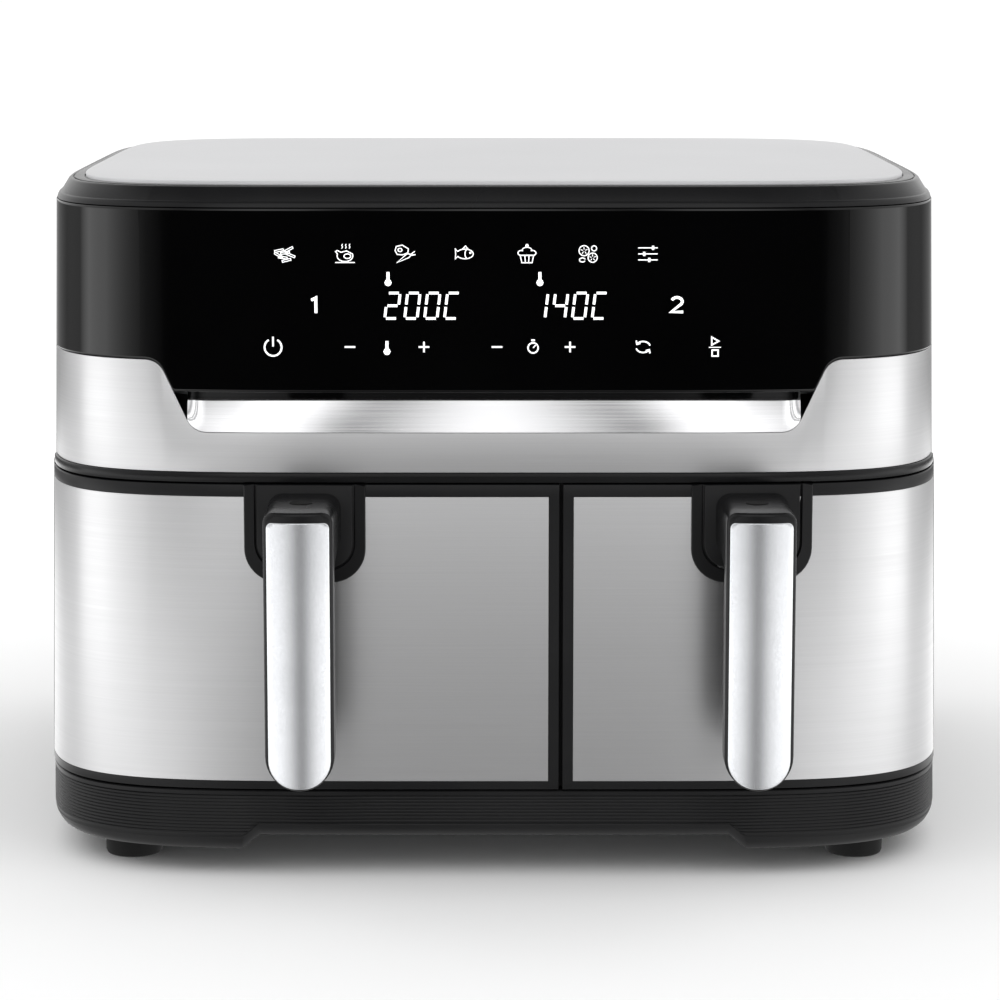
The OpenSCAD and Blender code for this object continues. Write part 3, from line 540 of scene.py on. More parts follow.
def ring_angles(stations):
    """Stations as plain angles, so that smaller copies of the outline stay even."""
    found = []
    for kind, place in stations:
        if kind != "turn":
            cx = place / half_width(0.15)
            place = math.acos(math.copysign(abs(cx) ** (POWER / 2), cx)) * (-1 if kind == "front" else 1)
        found.append(place)
    return found


def top_plate():
    bm = bmesh.new()
    top, outline = plate_hi.z, ring_angles(whole_ring())
    levels = ((plate_lo.z, 0), (top - 0.6 * MM, 0), (top - 0.2 * MM, 0.15 * MM), (top, 0.6 * MM),
              (top, 20 * MM), (top, 60 * MM), (top, 110 * MM))
    skin(bm, [[bm.verts.new(wall_point(("turn", a), z, PLATE_IN + d)) for a in outline] for z, d in levels])
    sheet = satin_metal("satin_plate", (0.55, 0.55, 0.56), (0.59, 0.59, 0.60), 0.35, 5, 900, (0.34, 0.4),
                        0.004 * MM)
    return show(bm, "silver_top_plate", sheet, sharp=50)


plate = top_plate()
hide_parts("top_plate")
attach(plate, "housing")


# ---- Control panel ----------------------------------------------------------------------
# High-gloss black panel that wraps the corners. Its lower edge drops in the middle, where a
# ledge turns in over the recess.

PANEL_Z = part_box("steel_band")[1].z
DROP_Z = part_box("control_panel")[0].z
RECESS_Z = DROP_Z - 17.6 * MM
WRAP_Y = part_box("control_panel")[1].y
RECESS_HALF = 146 * MM
RECESS_SLANT = 15 * MM
RECESS_R = 9 * MM


def gloss_black():
    mat, tree, shader = new_material("gloss_panel")
    slow = noise(tree, 9, detail=3)
    dress(tree, shader, slow, (0.0006, 0.0006, 0.0007), (0.001, 0.001, 0.0011),
          {"Roughness": spread(tree, slow, 0.035, 0.055), "Specular IOR Level": 0.34})
    return mat


def fillet(a, b, c, r, steps=6):
    """Points of the arc of radius r that rounds corner b between a and c, in the plane."""
    a, b, c = Vector(a), Vector(b), Vector(c)
    u, v = (a - b).normalized(), (c - b).normalized()
    half = u.angle(v) / 2
    centre = b + (u + v).normalized() * r / math.sin(half)
    start = b + u * r / math.tan(half) - centre
    end = b + v * r / math.tan(half) - centre
    swing = start.angle(end)
    shares = [i / steps for i in range(steps + 1)]
    return [centre + (start * math.sin((1 - t) * swing) + end * math.sin(t * swing)) / math.sin(swing)
            for t in shares]


def recess_line(foot):
    """Right half of the recess's edge, from the middle out, as (x, z) points with its foot at a height."""
    slant = RECESS_SLANT * (PANEL_Z - foot) / (PANEL_Z - RECESS_Z)
    a, b = (0, foot), (RECESS_HALF - slant, foot)
    c, d = (RECESS_HALF, PANEL_Z), (RECESS_HALF + 0.05, PANEL_Z)
    return fillet(a, b, c, RECESS_R if foot < DROP_Z - MM else 1.2 * MM) + fillet(b, c, d, RECESS_R)


def height_on(line, x):
    """Height of a line of (x, z) points at an x."""
    x = abs(x)
    if x <= line[0][0]:
        return line[0][1]
    for p, q in zip(line, line[1:]):
        if x <= q[0]:
            return p[1] + (q[1] - p[1]) * (x - p[0]) / max(q[0] - p[0], 1e-9)
    return line[-1][1]


def front_run(lines=()):
    """Stations over the whole front from the left wrap to the right, with those an edge needs."""
    extra = [s * p[0] for line in lines for p in line for s in (-1, 1)]
    flat = max([FLAT_HALF] + [abs(x) + 2 * MM for x in extra])
    corner = turns(turn_at_x(flat), turn_at_y(WRAP_Y), 26)[1:]
    return mirrored(corner) + across("front", -flat, flat, extra) + corner


def edge_height(line, station):
    """Height of an edge at a station: the line on the flat front, its outer height round the corner."""
    return height_on(line, station[1]) if station[0] == "front" else line[-1][1]


panel_line = recess_line(DROP_Z)


def control_panel():
    bm = bmesh.new()
    top = RING_Z - 0.1 * MM

    def section(s):
        return soft_box_section(edge_height(panel_line, s), top, STEP_IN, STEP_IN + 2.2 * MM, 0.5 * MM,
                                hold=0.6 * MM)

    sweep(bm, front_run([panel_line]), section)
    ledge = [("front", x) for x in (-0.1375, -0.12, -0.09, -0.06, -0.03, 0, 0.03, 0.06, 0.09, 0.12, 0.1375)]
    near, far = STEP_IN + 1.5 * MM, STEP_IN + 7.4 * MM
    under, over = DROP_Z + 0.1 * MM, DROP_Z + 1.4 * MM
    sweep(bm, ledge, lambda s: [(under, near), (under, far), (over, far), (over, near)])
    return show(bm, "gloss_control_panel", gloss_black())


panel = control_panel()
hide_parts("control_panel")
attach(panel, "housing")


# ---- Panel symbols ----------------------------------------------------------------------
# White marks that glow behind the gloss: food signs, two seven-segment displays, drawer numbers
# and touch keys. Each is a thin ribbon printed on the panel's face.

SYMBOL_OUT = 0.08 * MM


def glow():
    mat, tree, shader = new_material("white_glow")
    slow = noise(tree, 60, detail=2)
    dress(tree, shader, slow, (0.80, 0.81, 0.82), (0.86, 0.87, 0.88),
          {"Emission Color": (1, 1, 1, 1), "Emission Strength": 0.75, "Roughness": 0.5})
    return mat


def ribbon(bm, points, w, closed=False):
    """A flat ribbon w wide on the panel's face along (x, z) points in millimetres."""
    path = [Vector(p) for p in points]
    n = len(path)
    rows = []
    for i, p in enumerate(path):
        a = path[i - 1] if closed or i else p
        b = path[(i + 1) % n] if closed or i < n - 1 else p
        u, v = p - a, b - p
        u = u.normalized() if u.length else v.normalized()
        v = v.normalized() if v.length else u
        along = (u + v).normalized() if (u + v).length > 1e-3 else u
        side = Vector((-along.y, along.x)) * w / 2 / max(along.dot(u), 0.5)
        row = []
        for q, depths in ((p - side, (0, 1.5)), (p + side, (1.5, 0))):
            x, z = q.x * MM, q.y * MM
            y = wall_point(("front", x), z, STEP_IN - SYMBOL_OUT).y
            row += [bm.verts.new((x, y + SYMBOL_OUT * depth, z)) for depth in depths]
        rows.append(row)
    skin(bm, rows, closed)


def arc(x, z, rx, rz, start, end, steps=16):
    """Points of an arc round (x, z), from one angle to another in degrees."""
    found = []
    for i in range(steps + 1):
        a = math.radians(start + (end - start) * i / steps)
        found.append((x + rx * math.cos(a), z + rz * math.sin(a)))
    return found


def loop(bm, x, z, rx, rz, w, steps=20):
    ribbon(bm, arc(x, z, rx, rz, 0, 360 - 360 / steps, steps - 1), w, closed=True)


def dot(bm, x, z, r):
    loop(bm, x, z, r * 0.5, r * 0.5, r, 8)


def pen(bm, x, z, w):
    """Gives back a function that draws a line through points counted from (x, z)."""
    def line(*points, width=w, closed=False):
        ribbon(bm, [(x + u, z + v) for u, v in points], width, closed)
    return line


def thermometer(bm, x, z):
    ribbon(bm, [(x, z + 2.6), (x, z - 1)], 1.3)
    dot(bm, x, z - 2, 1.5)


def seven_segments(bm, x, z, w, h, lit, stroke=1.15):
    """One slanted digit with its foot at z. lit names its segments from a to g."""
    lean, gap = 0.12, 0.55

    def at(u, v):
        return (x + u * w + lean * v * h, z + v * h)

    ends = {"a": (at(0, 1), at(1, 1)), "b": (at(1, 1), at(1, 0.5)), "c": (at(1, 0.5), at(1, 0)),
            "d": (at(0, 0), at(1, 0)), "e": (at(0, 0.5), at(0, 0)), "f": (at(0, 1), at(0, 0.5)),
            "g": (at(0, 0.5), at(1, 0.5))}
    for name in lit:
        p, q = (Vector(e) for e in ends[name])
        back = (q - p).normalized() * gap
        ribbon(bm, [p + back, q - back], stroke)


DIGITS = {"0": "abcdef", "1": "bc", "2": "abged", "4": "fgbc", "C": "afed"}


def display(bm, x, z, word):
    for i, sign in enumerate(word):
        seven_segments(bm, x + i * 8.6, z, 5.4, 11, DIGITS[sign])


def food_signs(bm, z):
    """A row of signs: chips, a roast bird, a joint with a carrot, a fish, a cake, slices and sliders."""
    w, thin = 0.42, 0.336
    line = pen(bm, -90, z, w)
    for dx, dz, turn in ((-2.6, 1.4, 12), (-1, -1.6, -8), (1.6, 1.9, 28), (2.4, -0.6, -22), (0, 0.4, 5),
                         (-2.8, -0.6, -30), (0.6, -2.8, 14)):
        u = Vector((math.cos(math.radians(turn)), math.sin(math.radians(turn)))) * 1.9
        v, c = Vector((-u.y, u.x)) * 0.22, Vector((dx, dz))
        line(c - u - v, c + u - v, c + u + v, c - u + v, width=thin, closed=True)
    x = -64.2
    line = pen(bm, x, z, w)
    line(*arc(0, -0.8, 3.4, 2.5, 160, 380))
    line((-3.2, 0), (-4.1, 1), (-3.3, 1.5), (-1.7, 0.7), (0.7, 1.3), (3.2, 0))
    line((-4.2, -3.7), (4.2, -3.7))
    loop(bm, x + 1, z - 1, 1.5, 1, w, 12)
    for dx in (-1.4, 0.2, 1.8):
        line((dx, 2.3), (dx + 0.4, 3), (dx, 3.7), (dx + 0.4, 4.3), width=thin)
    x = -38.3
    line = pen(bm, x, z, w)
    line((-3.8, 3.2), (-1.2, 3.8), (1.4, 2.2), (1.2, 0.5), (-1, -0.4), (-3.4, -0.2), (-4.3, 1.4), closed=True)
    loop(bm, x - 2.2, z + 1.7, 0.9, 0.7, w, 10)
    line((-3.6, -3.8), (1.6, -1.6), (2.8, -0.2), (0.9, 0.1), closed=True)
    line((2.4, -0.2), (4.2, 1.1))
    line((2.6, -0.6), (4.5, -0.3))
    x = -12.1
    line = pen(bm, x, z, w)
    line(*arc(-0.4, 0, 3.6, 2.1, -150, 150))
    line((-3.5, -1), (-4.6, -2.2), (-4.4, 0), (-4.6, 2.2), (-3.5, 1))
    line(*arc(0.6, 0, 1, 1.9, 110, 250, 8))
    dot(bm, x + 1.9, z + 0.5, 0.5)
    line((-1.4, 2.1), (-0.2, 3.4), (1, 2))
    x = 14.2
    line = pen(bm, x, z, w)
    line((-2.9, -0.6), (-2.2, -3.8), (2.2, -3.8), (2.9, -0.6), closed=True)
    for dx in (-0.9, 0.9):
        line((dx, -0.8), (dx * 0.8, -3.6))
    line(*arc(-2.4, 0.4, 1.5, 1.1, 60, 250, 8), *arc(2.4, 0.4, 1.5, 1.1, -70, 120, 8))
    line(*arc(0, 1.2, 2.2, 1.7, 10, 170, 10))
    dot(bm, x, z + 3.6, 0.7)
    x = 40.5
    line = pen(bm, x, z, w)
    for dx, dz, r, spokes in ((-1.7, 1.4, 2.2, 5), (2, -1.6, 2, 5), (2.6, 2.4, 1.1, 0)):
        loop(bm, x + dx, z + dz, r, r, w, 16)
        for a in (math.radians(72 * k + 20) for k in range(spokes)):
            line(*((dx + q * math.cos(a), dz + q * math.sin(a)) for q in (0.5, r * 0.72)), width=0.294)
    line(*arc(-2.4, -2.6, 1.3, 0.9, 20, 330, 10))
    line = pen(bm, 66.3, z, w)
    for dz, knob in ((2.6, 2.2), (0, -1.6), (-2.6, 0.6)):
        line((-4.2, dz), (4.2, dz))
        line((knob, dz + 0.9), (knob, dz - 0.9), width=1.0)


def touch_keys(bm, z):
    """Power, the plus and minus pairs, the timer, the two arrows and the start and stop key."""
    line = pen(bm, -95.6, z, 0.75)
    line(*arc(0, -0.2, 3.7, 3.7, 120, 420, 24))
    line((0, 4.4), (0, 0.2))
    for x, plus in ((-62.3, False), (1.3, False), (-30.3, True), (32.9, True)):
        line = pen(bm, x, z, 0.75)
        line((-2.3, 0), (2.3, 0))
        if plus:
            line((0, 2.3), (0, -2.3))
    thermometer(bm, -46.3, z)
    loop(bm, 16.9, z - 0.4, 2.2, 2.2, 0.6)
    line = pen(bm, 16.9, z, 0.8)
    line((-0.8, 2.9), (0.8, 2.9))
    line((0, -0.4), (1.1, 0.8), width=0.5)
    line = pen(bm, 64.5, z, 0.6)
    for flip, start, end in ((1, 15, 150), (-1, 195, 330)):
        ends = arc(0, 0, 3.1, 2.4, start, end, 10)
        line(*ends)
        tip = Vector(ends[-1])
        line(tip + Vector((1.5, 0.4)) * flip, tip, tip + Vector((-0.3, 1.6)) * flip)
    line = pen(bm, 94.2, z, 0.6)
    line((0, 4.2), (0, 0.8), (3, 2.5), closed=True)
    line((-1.2, -0.2), (4, -0.2), width=0.35)
    line((0.2, -1.4), (2.8, -1.4), (2.8, -4), (0.2, -4), closed=True)


def panel_symbols():
    bm = bmesh.new()
    food_signs(bm, 276.6)
    for x in (-45.7, 19.8):
        thermometer(bm, x, 266.2)
    display(bm, -47.2, 248.7, "200C")
    display(bm, 16.6, 248.7, "140C")
    ribbon(bm, [(-78.9, 256.6), (-76.9, 257.6), (-76.9, 251)], 1.25)
    ribbon(bm, arc(79, 256, 2.3, 1.8, 160, -35, 8) + [(76.5, 251.5), (81.7, 251.5)], 1.2)
    touch_keys(bm, 236.3)
    return show(bm, "panel_symbols", glow())


symbols = panel_symbols()
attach(symbols, "housing")


# ---- Brushed steel band -----------------------------------------------------------------
# Thin steel sheet below the panel, brushed along its length, cut out round the recess.

BAND_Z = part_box("steel_band")[0].z


def brushed_steel():
    """Steel brushed level round the housing: long fine streaks, and reflections drawn out upright."""
    mat, tree, shader = new_material("brushed_steel")
    around = node(tree, "Tangent", {}, direction_type="RADIAL", axis="Z").outputs[0]
    hair = noise(tree, 1, stretch=(14, 14, 4200), detail=3, rough=0.65)
    long_hair = noise(tree, 1, stretch=(5, 5, 900), detail=4, rough=0.7)
    streaks = maths(tree, "MULTIPLY_ADD", hair, 0.55, maths(tree, "MULTIPLY", long_hair, 0.45))
    dress(tree, shader, streaks, (0.585, 0.585, 0.59), (0.625, 0.625, 0.63),
          {"Metallic": 1, "Anisotropic": 0.6, "Anisotropic Rotation": 0.25, "Tangent": around,
           "Roughness": spread(tree, streaks, 0.35, 0.29, 0.35, 0.65)}, streaks, 0.0012 * MM, 0.15)
    return mat


steel = brushed_steel()
band_line = recess_line(RECESS_Z)


def steel_band():
    bm = bmesh.new()

    def section(s):
        top = edge_height(band_line, s) - 0.15 * MM
        return soft_box_section(BAND_Z, top, STEP_IN, STEP_IN + 0.8 * MM, 0.25 * MM, 6)

    sweep(bm, front_run([band_line]), section)
    return show(bm, "brushed_steel_band", steel)


band = steel_band()
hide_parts("steel_band")
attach(band, "housing")


# ---- Recess strip -----------------------------------------------------------------------
# Polished strip that curves in from the band's edge up to the back of the panel, with short
# end walls that follow the slanted sides of the recess.

def polished_strip():
    mat, tree, shader = new_material("polished_strip")
    fine = noise(tree, 1, stretch=(8, 8, 2600), detail=3)
    dress(tree, shader, fine, (0.70, 0.70, 0.71), (0.76, 0.76, 0.77),
          {"Metallic": 1, "Roughness": spread(tree, fine, 0.07, 0.1)}, fine, 0.001 * MM)
    return mat


def recess_strip():
    bm = bmesh.new()
    depth, edge = 6 * MM, STEP_IN + 0.8 * MM

    def section(s):
        low = edge_height(band_line, s)
        climb = max(DROP_Z - low, 0.6 * MM)
        deep = depth * climb / (DROP_Z - RECESS_Z)
        front = [(low + climb * t, edge + deep * (1 - math.cos(t * math.pi / 2)) ** 0.9)
                 for t in (i / 8 for i in range(9))]
        return front + [(z, inset + 1.2 * MM) for z, inset in reversed(front)]

    reach = max(p[0] for p in band_line if p[1] < DROP_Z - 0.4 * MM)
    stations = across("front", -reach, reach, [s * p[0] for p in band_line for s in (-1, 1)])
    sweep(bm, stations, section)
    return show(bm, "polished_recess_strip", polished_strip(), sharp=60)


strip = recess_strip()
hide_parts("recess_strip")
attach(strip, "housing")


# ---- Trim line --------------------------------------------------------------------------
# Narrow black moulding over the drawers.

def trim_line():
    bm = bmesh.new()
    sweep(bm, front_run(), lambda s: soft_box_section(UPPER_Z, BAND_Z - 0.1 * MM, 0.2 * MM, 6 * MM, 0.5 * MM))
    return show(bm, "black_trim_line", ring_plastic)


trim = trim_line()
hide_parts("trim_strip")
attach(trim, "housing")


# ---- Drawer fronts ----------------------------------------------------------------------
# Each drawer front is a black moulding that wraps its outer corner, with a thin sheet of
# brushed steel let into its face. The sheet leaves a black margin all round.

MARGIN_TOP = 5.4 * MM
MARGIN_BOTTOM = 3.7 * MM
MARGIN_MID = 4.6 * MM
BAR_FOOT = 121 * MM
BAR_TOP = 147 * MM
CORNER_R = 36 * MM
front_plastic = moulded_plastic("front_plastic", (0.004, 0.004, 0.0045), (0.007, 0.007, 0.0075), (0.28, 0.38),
                                0.01 * MM)


def drawer_run(side, x_in, y_end, extra=()):
    """Stations from the drawer's inner edge at x_in over its face and round its outer corner."""
    sign = -1 if side == "left" else 1
    corner = turns(turn_at_x(FLAT_HALF), turn_at_y(y_end), 28)[1:]
    if sign > 0:
        return across("front", x_in, FLAT_HALF, extra) + corner
    return mirrored(corner) + across("front", -FLAT_HALF, x_in, extra)


def drawer_front(side):
    lo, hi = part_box(side + "_front_frame")
    x_in, inwards = (hi.x, 1) if side == "left" else (lo.x, -1)
    x_steel = x_in - inwards * MARGIN_MID
    z0, z1 = lo.z, hi.z
    s0, s1 = z0 + MARGIN_BOTTOM, z1 - MARGIN_TOP
    back, r = 5.8 * MM, 0.6 * MM
    bm = bmesh.new()

    def section(s):
        bends = [math.pi / 2 * i / 3 for i in range(4)]
        low = [(z0 + r - r * math.cos(a), r - r * math.sin(a)) for a in bends]
        high = [(z1 - r + r * math.sin(a), r - r * math.cos(a)) for a in bends]
        faced = s[0] == "turn" or abs(s[1] - x_in) > MARGIN_MID - 0.05 * MM
        sunk = 0.75 * MM if faced else 0
        return [(z0, back)] + low + [(s0, 0), (s0, sunk), (s1, sunk), (s1, 0)] + high + [(z1, back)]

    sweep(bm, drawer_run(side, x_in, WRAP_Y, [x_steel, x_steel + inwards * 0.1 * MM]), section)
    pan_lo, pan_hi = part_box(side + "_basket")
    block(bm, (pan_lo.x + CORNER_R, FRONT_Y + 8 * MM, BAR_FOOT),
          (pan_hi.x - CORNER_R, FRONT_Y + 16 * MM, BAR_TOP))
    obj = show(bm, side + "_drawer_front", front_plastic)
    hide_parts(side + "_front_frame")
    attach(obj, side + "_drawer")

    bm = bmesh.new()
    run = drawer_run(side, x_steel, WRAP_Y - 1.5 * MM)
    sweep(bm, run, lambda s: soft_box_section(s0 + 0.1 * MM, s1 - 0.1 * MM, 0, 0.7 * MM, 0.2 * MM, 6))
    obj = show(bm, side + "_drawer_steel", steel)
    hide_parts(side + "_front_skin")
    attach(obj, side + "_drawer")


for side in ("left", "right"):
    drawer_front(side)


# ---- Handle covers ----------------------------------------------------------------------
# A black U hangs from the top edge of each drawer front behind the handle: a raised outer
# frame with a smaller plate set into it.

COVER_W = 53 * MM
COVER_H = 43 * MM


def face_y(x, z, proud):
    """Y of a point that stands proud of the drawer's face."""
    return wall_point(("front", x), z, -proud).y


def u_shape(x, top, w, h, r, steps=10):
    """Outline of a U-shaped plate that hangs from a height, anticlockwise seen from the front."""
    left, right, foot = x - w / 2, x + w / 2, top - h
    return ([Vector((left, top)), *fillet((left, top), (left, foot), (x, foot), r, steps),
             *fillet((x, foot), (right, foot), (right, top), r, steps), Vector((right, top))])


def inset_outline(points, d):
    """The outline moved inwards by d, corner by corner."""
    found = []
    for a, b, c in zip(points[-1:] + points, points, points[1:] + points[:1]):
        u, v = (b - a).normalized(), (c - b).normalized()
        side = Vector((-u.y, u.x))
        normal = (side + Vector((-v.y, v.x))).normalized()
        found.append(b + normal * d / max(normal.dot(side), 0.3))
    return found


def on_face(bm, levels):
    """Rows of vertices on the drawer's face, one for each (outline, distance proud of it)."""
    return [[bm.verts.new((p.x, face_y(p.x, p.y, proud), p.y)) for p in outline] for outline, proud in levels]


def face_plate(bm, outline, back, proud, r, steps=3):
    """A plate on the drawer's face with a rounded front edge. outline runs anticlockwise."""
    levels = [(outline, back)]
    for a in (math.pi / 2 * i / steps for i in range(steps + 1)):
        levels.append((inset_outline(outline, r * (1 - math.cos(a))), proud - r + r * math.sin(a)))
    skin(bm, on_face(bm, levels))


def u_frame(bm, outer, inner, back, proud, r):
    """A U-shaped frame between two outlines with the same number of points, open at its top."""
    rows = on_face(bm, [(outer, back), (outer, proud - r), (inset_outline(outer, r), proud),
                        (inset_outline(inner, -r), proud), (inner, proud - r), (inner, back)])
    skin(bm, rows, closed=True, ring=False)
    bm.faces.new([row[0] for row in rows])
    bm.faces.new([row[-1] for row in reversed(rows)])


def handle_cover(side):
    lo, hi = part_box(side + "_handle_cover")
    x, top = (lo.x + hi.x) / 2, hi.z - 0.1 * MM
    bm = bmesh.new()
    outer = u_shape(x, top, COVER_W, COVER_H, 15 * MM)
    opening = u_shape(x, top, COVER_W - 9.7 * MM, COVER_H - 5.8 * MM, 11.4 * MM)
    plate_edge = u_shape(x, top, COVER_W - 11.3 * MM, COVER_H - 6.6 * MM, 10.8 * MM)
    face_plate(bm, inset_outline(outer, 0.4 * MM), -0.2 * MM, 0.25 * MM, 0.1 * MM)
    u_frame(bm, outer, opening, -0.15 * MM, 1.5 * MM, 0.4 * MM)
    face_plate(bm, plate_edge, 0.1 * MM, 1.6 * MM, 0.35 * MM)
    obj = show(bm, side + "_handle_cover_plate", front_plastic)
    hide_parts(side + "_handle_cover")
    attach(obj, side + "_drawer")


for side in ("left", "right"):
    handle_cover(side)


# ---- Handles ----------------------------------------------------------------------------
# Black moulded body: a neck that comes forward from the cover and a bar that hangs from it,
# free at its foot. A convex satin-silver insert fills its face, and a round plug on the neck
# hides the fixing.

handle_black = moulded_plastic("handle_black", (0.003, 0.003, 0.0035), (0.0055, 0.0055, 0.006), (0.2, 0.3),
                               0.006 * MM)


def bar_shape(x, z0, z1, w, r_top, r_foot, cells=12):
    """Outline of the handle's bar, anticlockwise seen from the front: down the left, along the
    foot, up the right and back along the top, with cells points on the foot and on the top."""
    left, right = x - w / 2, x + w / 2
    mid = (z0 + z1) / 2
    down = (fillet((x, z1), (left, z1), (left, mid), r_top, 5)
            + fillet((left, mid), (left, z0), (x, z0), r_foot, 9))
    up = [Vector((2 * x - p.x, p.y)) for p in reversed(down)]
    foot = [down[-1].lerp(up[0], i / cells) for i in range(1, cells)]
    top = [up[-1].lerp(down[0], i / cells) for i in range(1, cells)]
    return down, foot, up, top


def crowned_face(bm, shape, face, arch, edge, back, steps=4):
    """A bar whose face is arched across its width: face is its foremost y, arch how far the sides
    fall back, edge the radius of its rounded edge, and back the y of its flat rear."""
    down, foot, up, top = shape
    outline = down + foot + up + top
    xs = [p.x for p in outline]
    x, half = (min(xs) + max(xs)) / 2, (max(xs) - min(xs)) / 2

    def place(p, fall):
        return bm.verts.new((p.x, face + arch * ((p.x - x) / half) ** 2 + fall, p.y))

    loops = [[bm.verts.new((p.x, back, p.y)) for p in outline]]
    for a in (math.pi / 2 * i / steps for i in range(steps + 1)):
        moved = inset_outline(outline, edge * (1 - math.cos(a)))
        loops.append([place(p, edge * (1 - math.sin(a))) for p in moved])
    bm.faces.remove(skin(bm, loops))
    n, cells = len(down), len(foot) + 1
    last = loops[-1]
    left_side, foot_row = last[:n], last[n:n + cells - 1]
    right_side, top_row = last[n + cells - 1:2 * n + cells - 1], last[2 * n + cells - 1:]
    rows = []
    for k, (a, b) in enumerate(zip(left_side, reversed(right_side))):
        if k == 0:
            row = list(reversed(top_row))
        elif k == n - 1:
            row = foot_row
        else:
            path = [a.co.lerp(b.co, i / cells) for i in range(1, cells)]
            row = [place(Vector((p.x, p.z)), 0) for p in path]
        rows.append([a, *row, b])
    for p, q in zip(rows, rows[1:]):
        for i in range(cells):
            bm.faces.new((p[i], q[i], q[i + 1], p[i + 1]))


silver = satin_metal("satin_silver", (0.66, 0.67, 0.69), (0.71, 0.72, 0.74), 1, 30, 1400, (0.2, 0.27),
                     0.003 * MM)
NECK_H = 26 * MM
NECK_FLARE = 1.2 * MM
INSERT_ARCH = 2.3 * MM


def handle(side):
    lo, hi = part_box(side + "_handle")
    ins_lo, ins_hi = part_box(side + "_handle_insert")
    x = (ins_lo.x + ins_hi.x) / 2
    w = ins_hi.x - ins_lo.x + 3.7 * MM
    bm = bmesh.new()
    crowned_face(bm, bar_shape(x, lo.z, hi.z, w, 4.5 * MM, w / 2 - 0.3 * MM), ins_lo.y + 0.5 * MM, INSERT_ARCH,
                 1.3 * MM, ins_lo.y + 15.5 * MM)
    root, near, top = face_y(x, hi.z, 1.4 * MM), ins_lo.y + 6 * MM, hi.z - 0.06 * MM
    rows = []
    for t in (i / 8 for i in range(9)):
        half = w / 2 + NECK_FLARE * t ** 1.5 - 0.05 * MM
        low = top - NECK_H - 10 * MM * (1 - t) ** 4
        r, mid = (4.5 + 2 * t) * MM, (top + low) / 2
        left, right = x - half, x + half
        outline = (fillet((x, top), (left, top), (left, mid), r) + fillet((left, mid), (left, low), (x, low), r)
                   + fillet((x, low), (right, low), (right, mid), r)
                   + fillet((right, mid), (right, top), (x, top), r))
        rows.append([bm.verts.new((p.x, near + (root - near) * t, p.y)) for p in outline])
    skin(bm, rows)
    obj = show(bm, side + "_handle_body", handle_black, sharp=40)
    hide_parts(side + "_handle")
    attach(obj, side + "_drawer")

    bm = bmesh.new()
    face = bar_shape(x, ins_lo.z - 0.4 * MM, ins_hi.z - 1.5 * MM, ins_hi.x - ins_lo.x + MM, 2.6 * MM, 12 * MM)
    crowned_face(bm, face, ins_lo.y, INSERT_ARCH, 0.45 * MM, ins_lo.y + 4.2 * MM)
    obj = show(bm, side + "_silver_insert", silver, sharp=50)
    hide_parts(side + "_handle_insert")
    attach(obj, side + "_drawer")

    bm = bmesh.new()
    plug_lo, plug_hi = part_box(side + "_handle_plug")
    r = (plug_hi.x - plug_lo.x) / 2
    turned(bm, (x, (plug_lo.y + plug_hi.y) / 2, hi.z - 0.6 * MM),
           [(0, 0), (r, 0), (r, 0.75 * MM), (r - 0.3 * MM, 0.95 * MM), (r - 1.2 * MM, 0.8 * MM),
            (0, 0.72 * MM)])
    obj = show(bm, side + "_screw_plug", rubber)
    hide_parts(side + "_handle_plug")
    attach(obj, side + "_drawer")


for side in ("left", "right"):
    handle(side)


# ---- Baskets ----------------------------------------------------------------------------
# Deep-drawn steel baskets with a dark non-stick coating: rounded corners, a rounded edge round
# the floor, and a rim that turns outwards to run on the rails.

def nonstick_coating():
    """Non-stick coating: dark, slightly uneven, with fine pale specks in it."""
    mat, tree, shader = new_material("nonstick_coating")
    slow, fine = noise(tree, 26, detail=3), noise(tree, 2600, detail=1)
    where = node(tree, "TexCoord", {}).outputs["Object"]
    cells = node(tree, "TexVoronoi", {"Scale": 420, "Vector": where}).outputs["Distance"]
    dress(tree, shader, slow, (0.012, 0.012, 0.013), (0.020, 0.020, 0.021),
          {"Roughness": spread(tree, slow, 0.34, 0.46)}, fine, 0.006 * MM)
    plain = shader.inputs["Base Color"].links[0].from_socket
    speckled = between(tree, spread(tree, cells, 0.6, 0, 0.08, 0.13), plain, (0.09, 0.09, 0.09, 1))
    set_sockets(tree, shader.inputs, {"Base Color": speckled})
    return mat


nonstick = nonstick_coating()


def rounded_box(x0, x1, y0, y1, r, steps=8):
    """Corners of a rounded rectangle seen from above, anticlockwise."""
    found = []
    for cx, cy, start in ((x1 - r, y0 + r, -90), (x1 - r, y1 - r, 0), (x0 + r, y1 - r, 90),
                          (x0 + r, y0 + r, 180)):
        for i in range(steps + 1):
            a = math.radians(start + 90 * i / steps)
            found.append((cx + r * math.cos(a), cy + r * math.sin(a)))
    return found


def drawn_pan(bm, edges, r, levels):
    """A drawn pan: for each (height, inset) the rounded outline, joined up and closed at both ends."""
    x0, x1, y0, y1 = edges
    skin(bm, [[bm.verts.new((x, y, z))
               for x, y in rounded_box(x0 + d, x1 - d, y0 + d, y1 - d, max(r - d, 1.5 * MM))]
              for z, d in levels])


BASKET_T = 1.5 * MM
RIM_OUT = 4 * MM
FOLD = 9 * MM


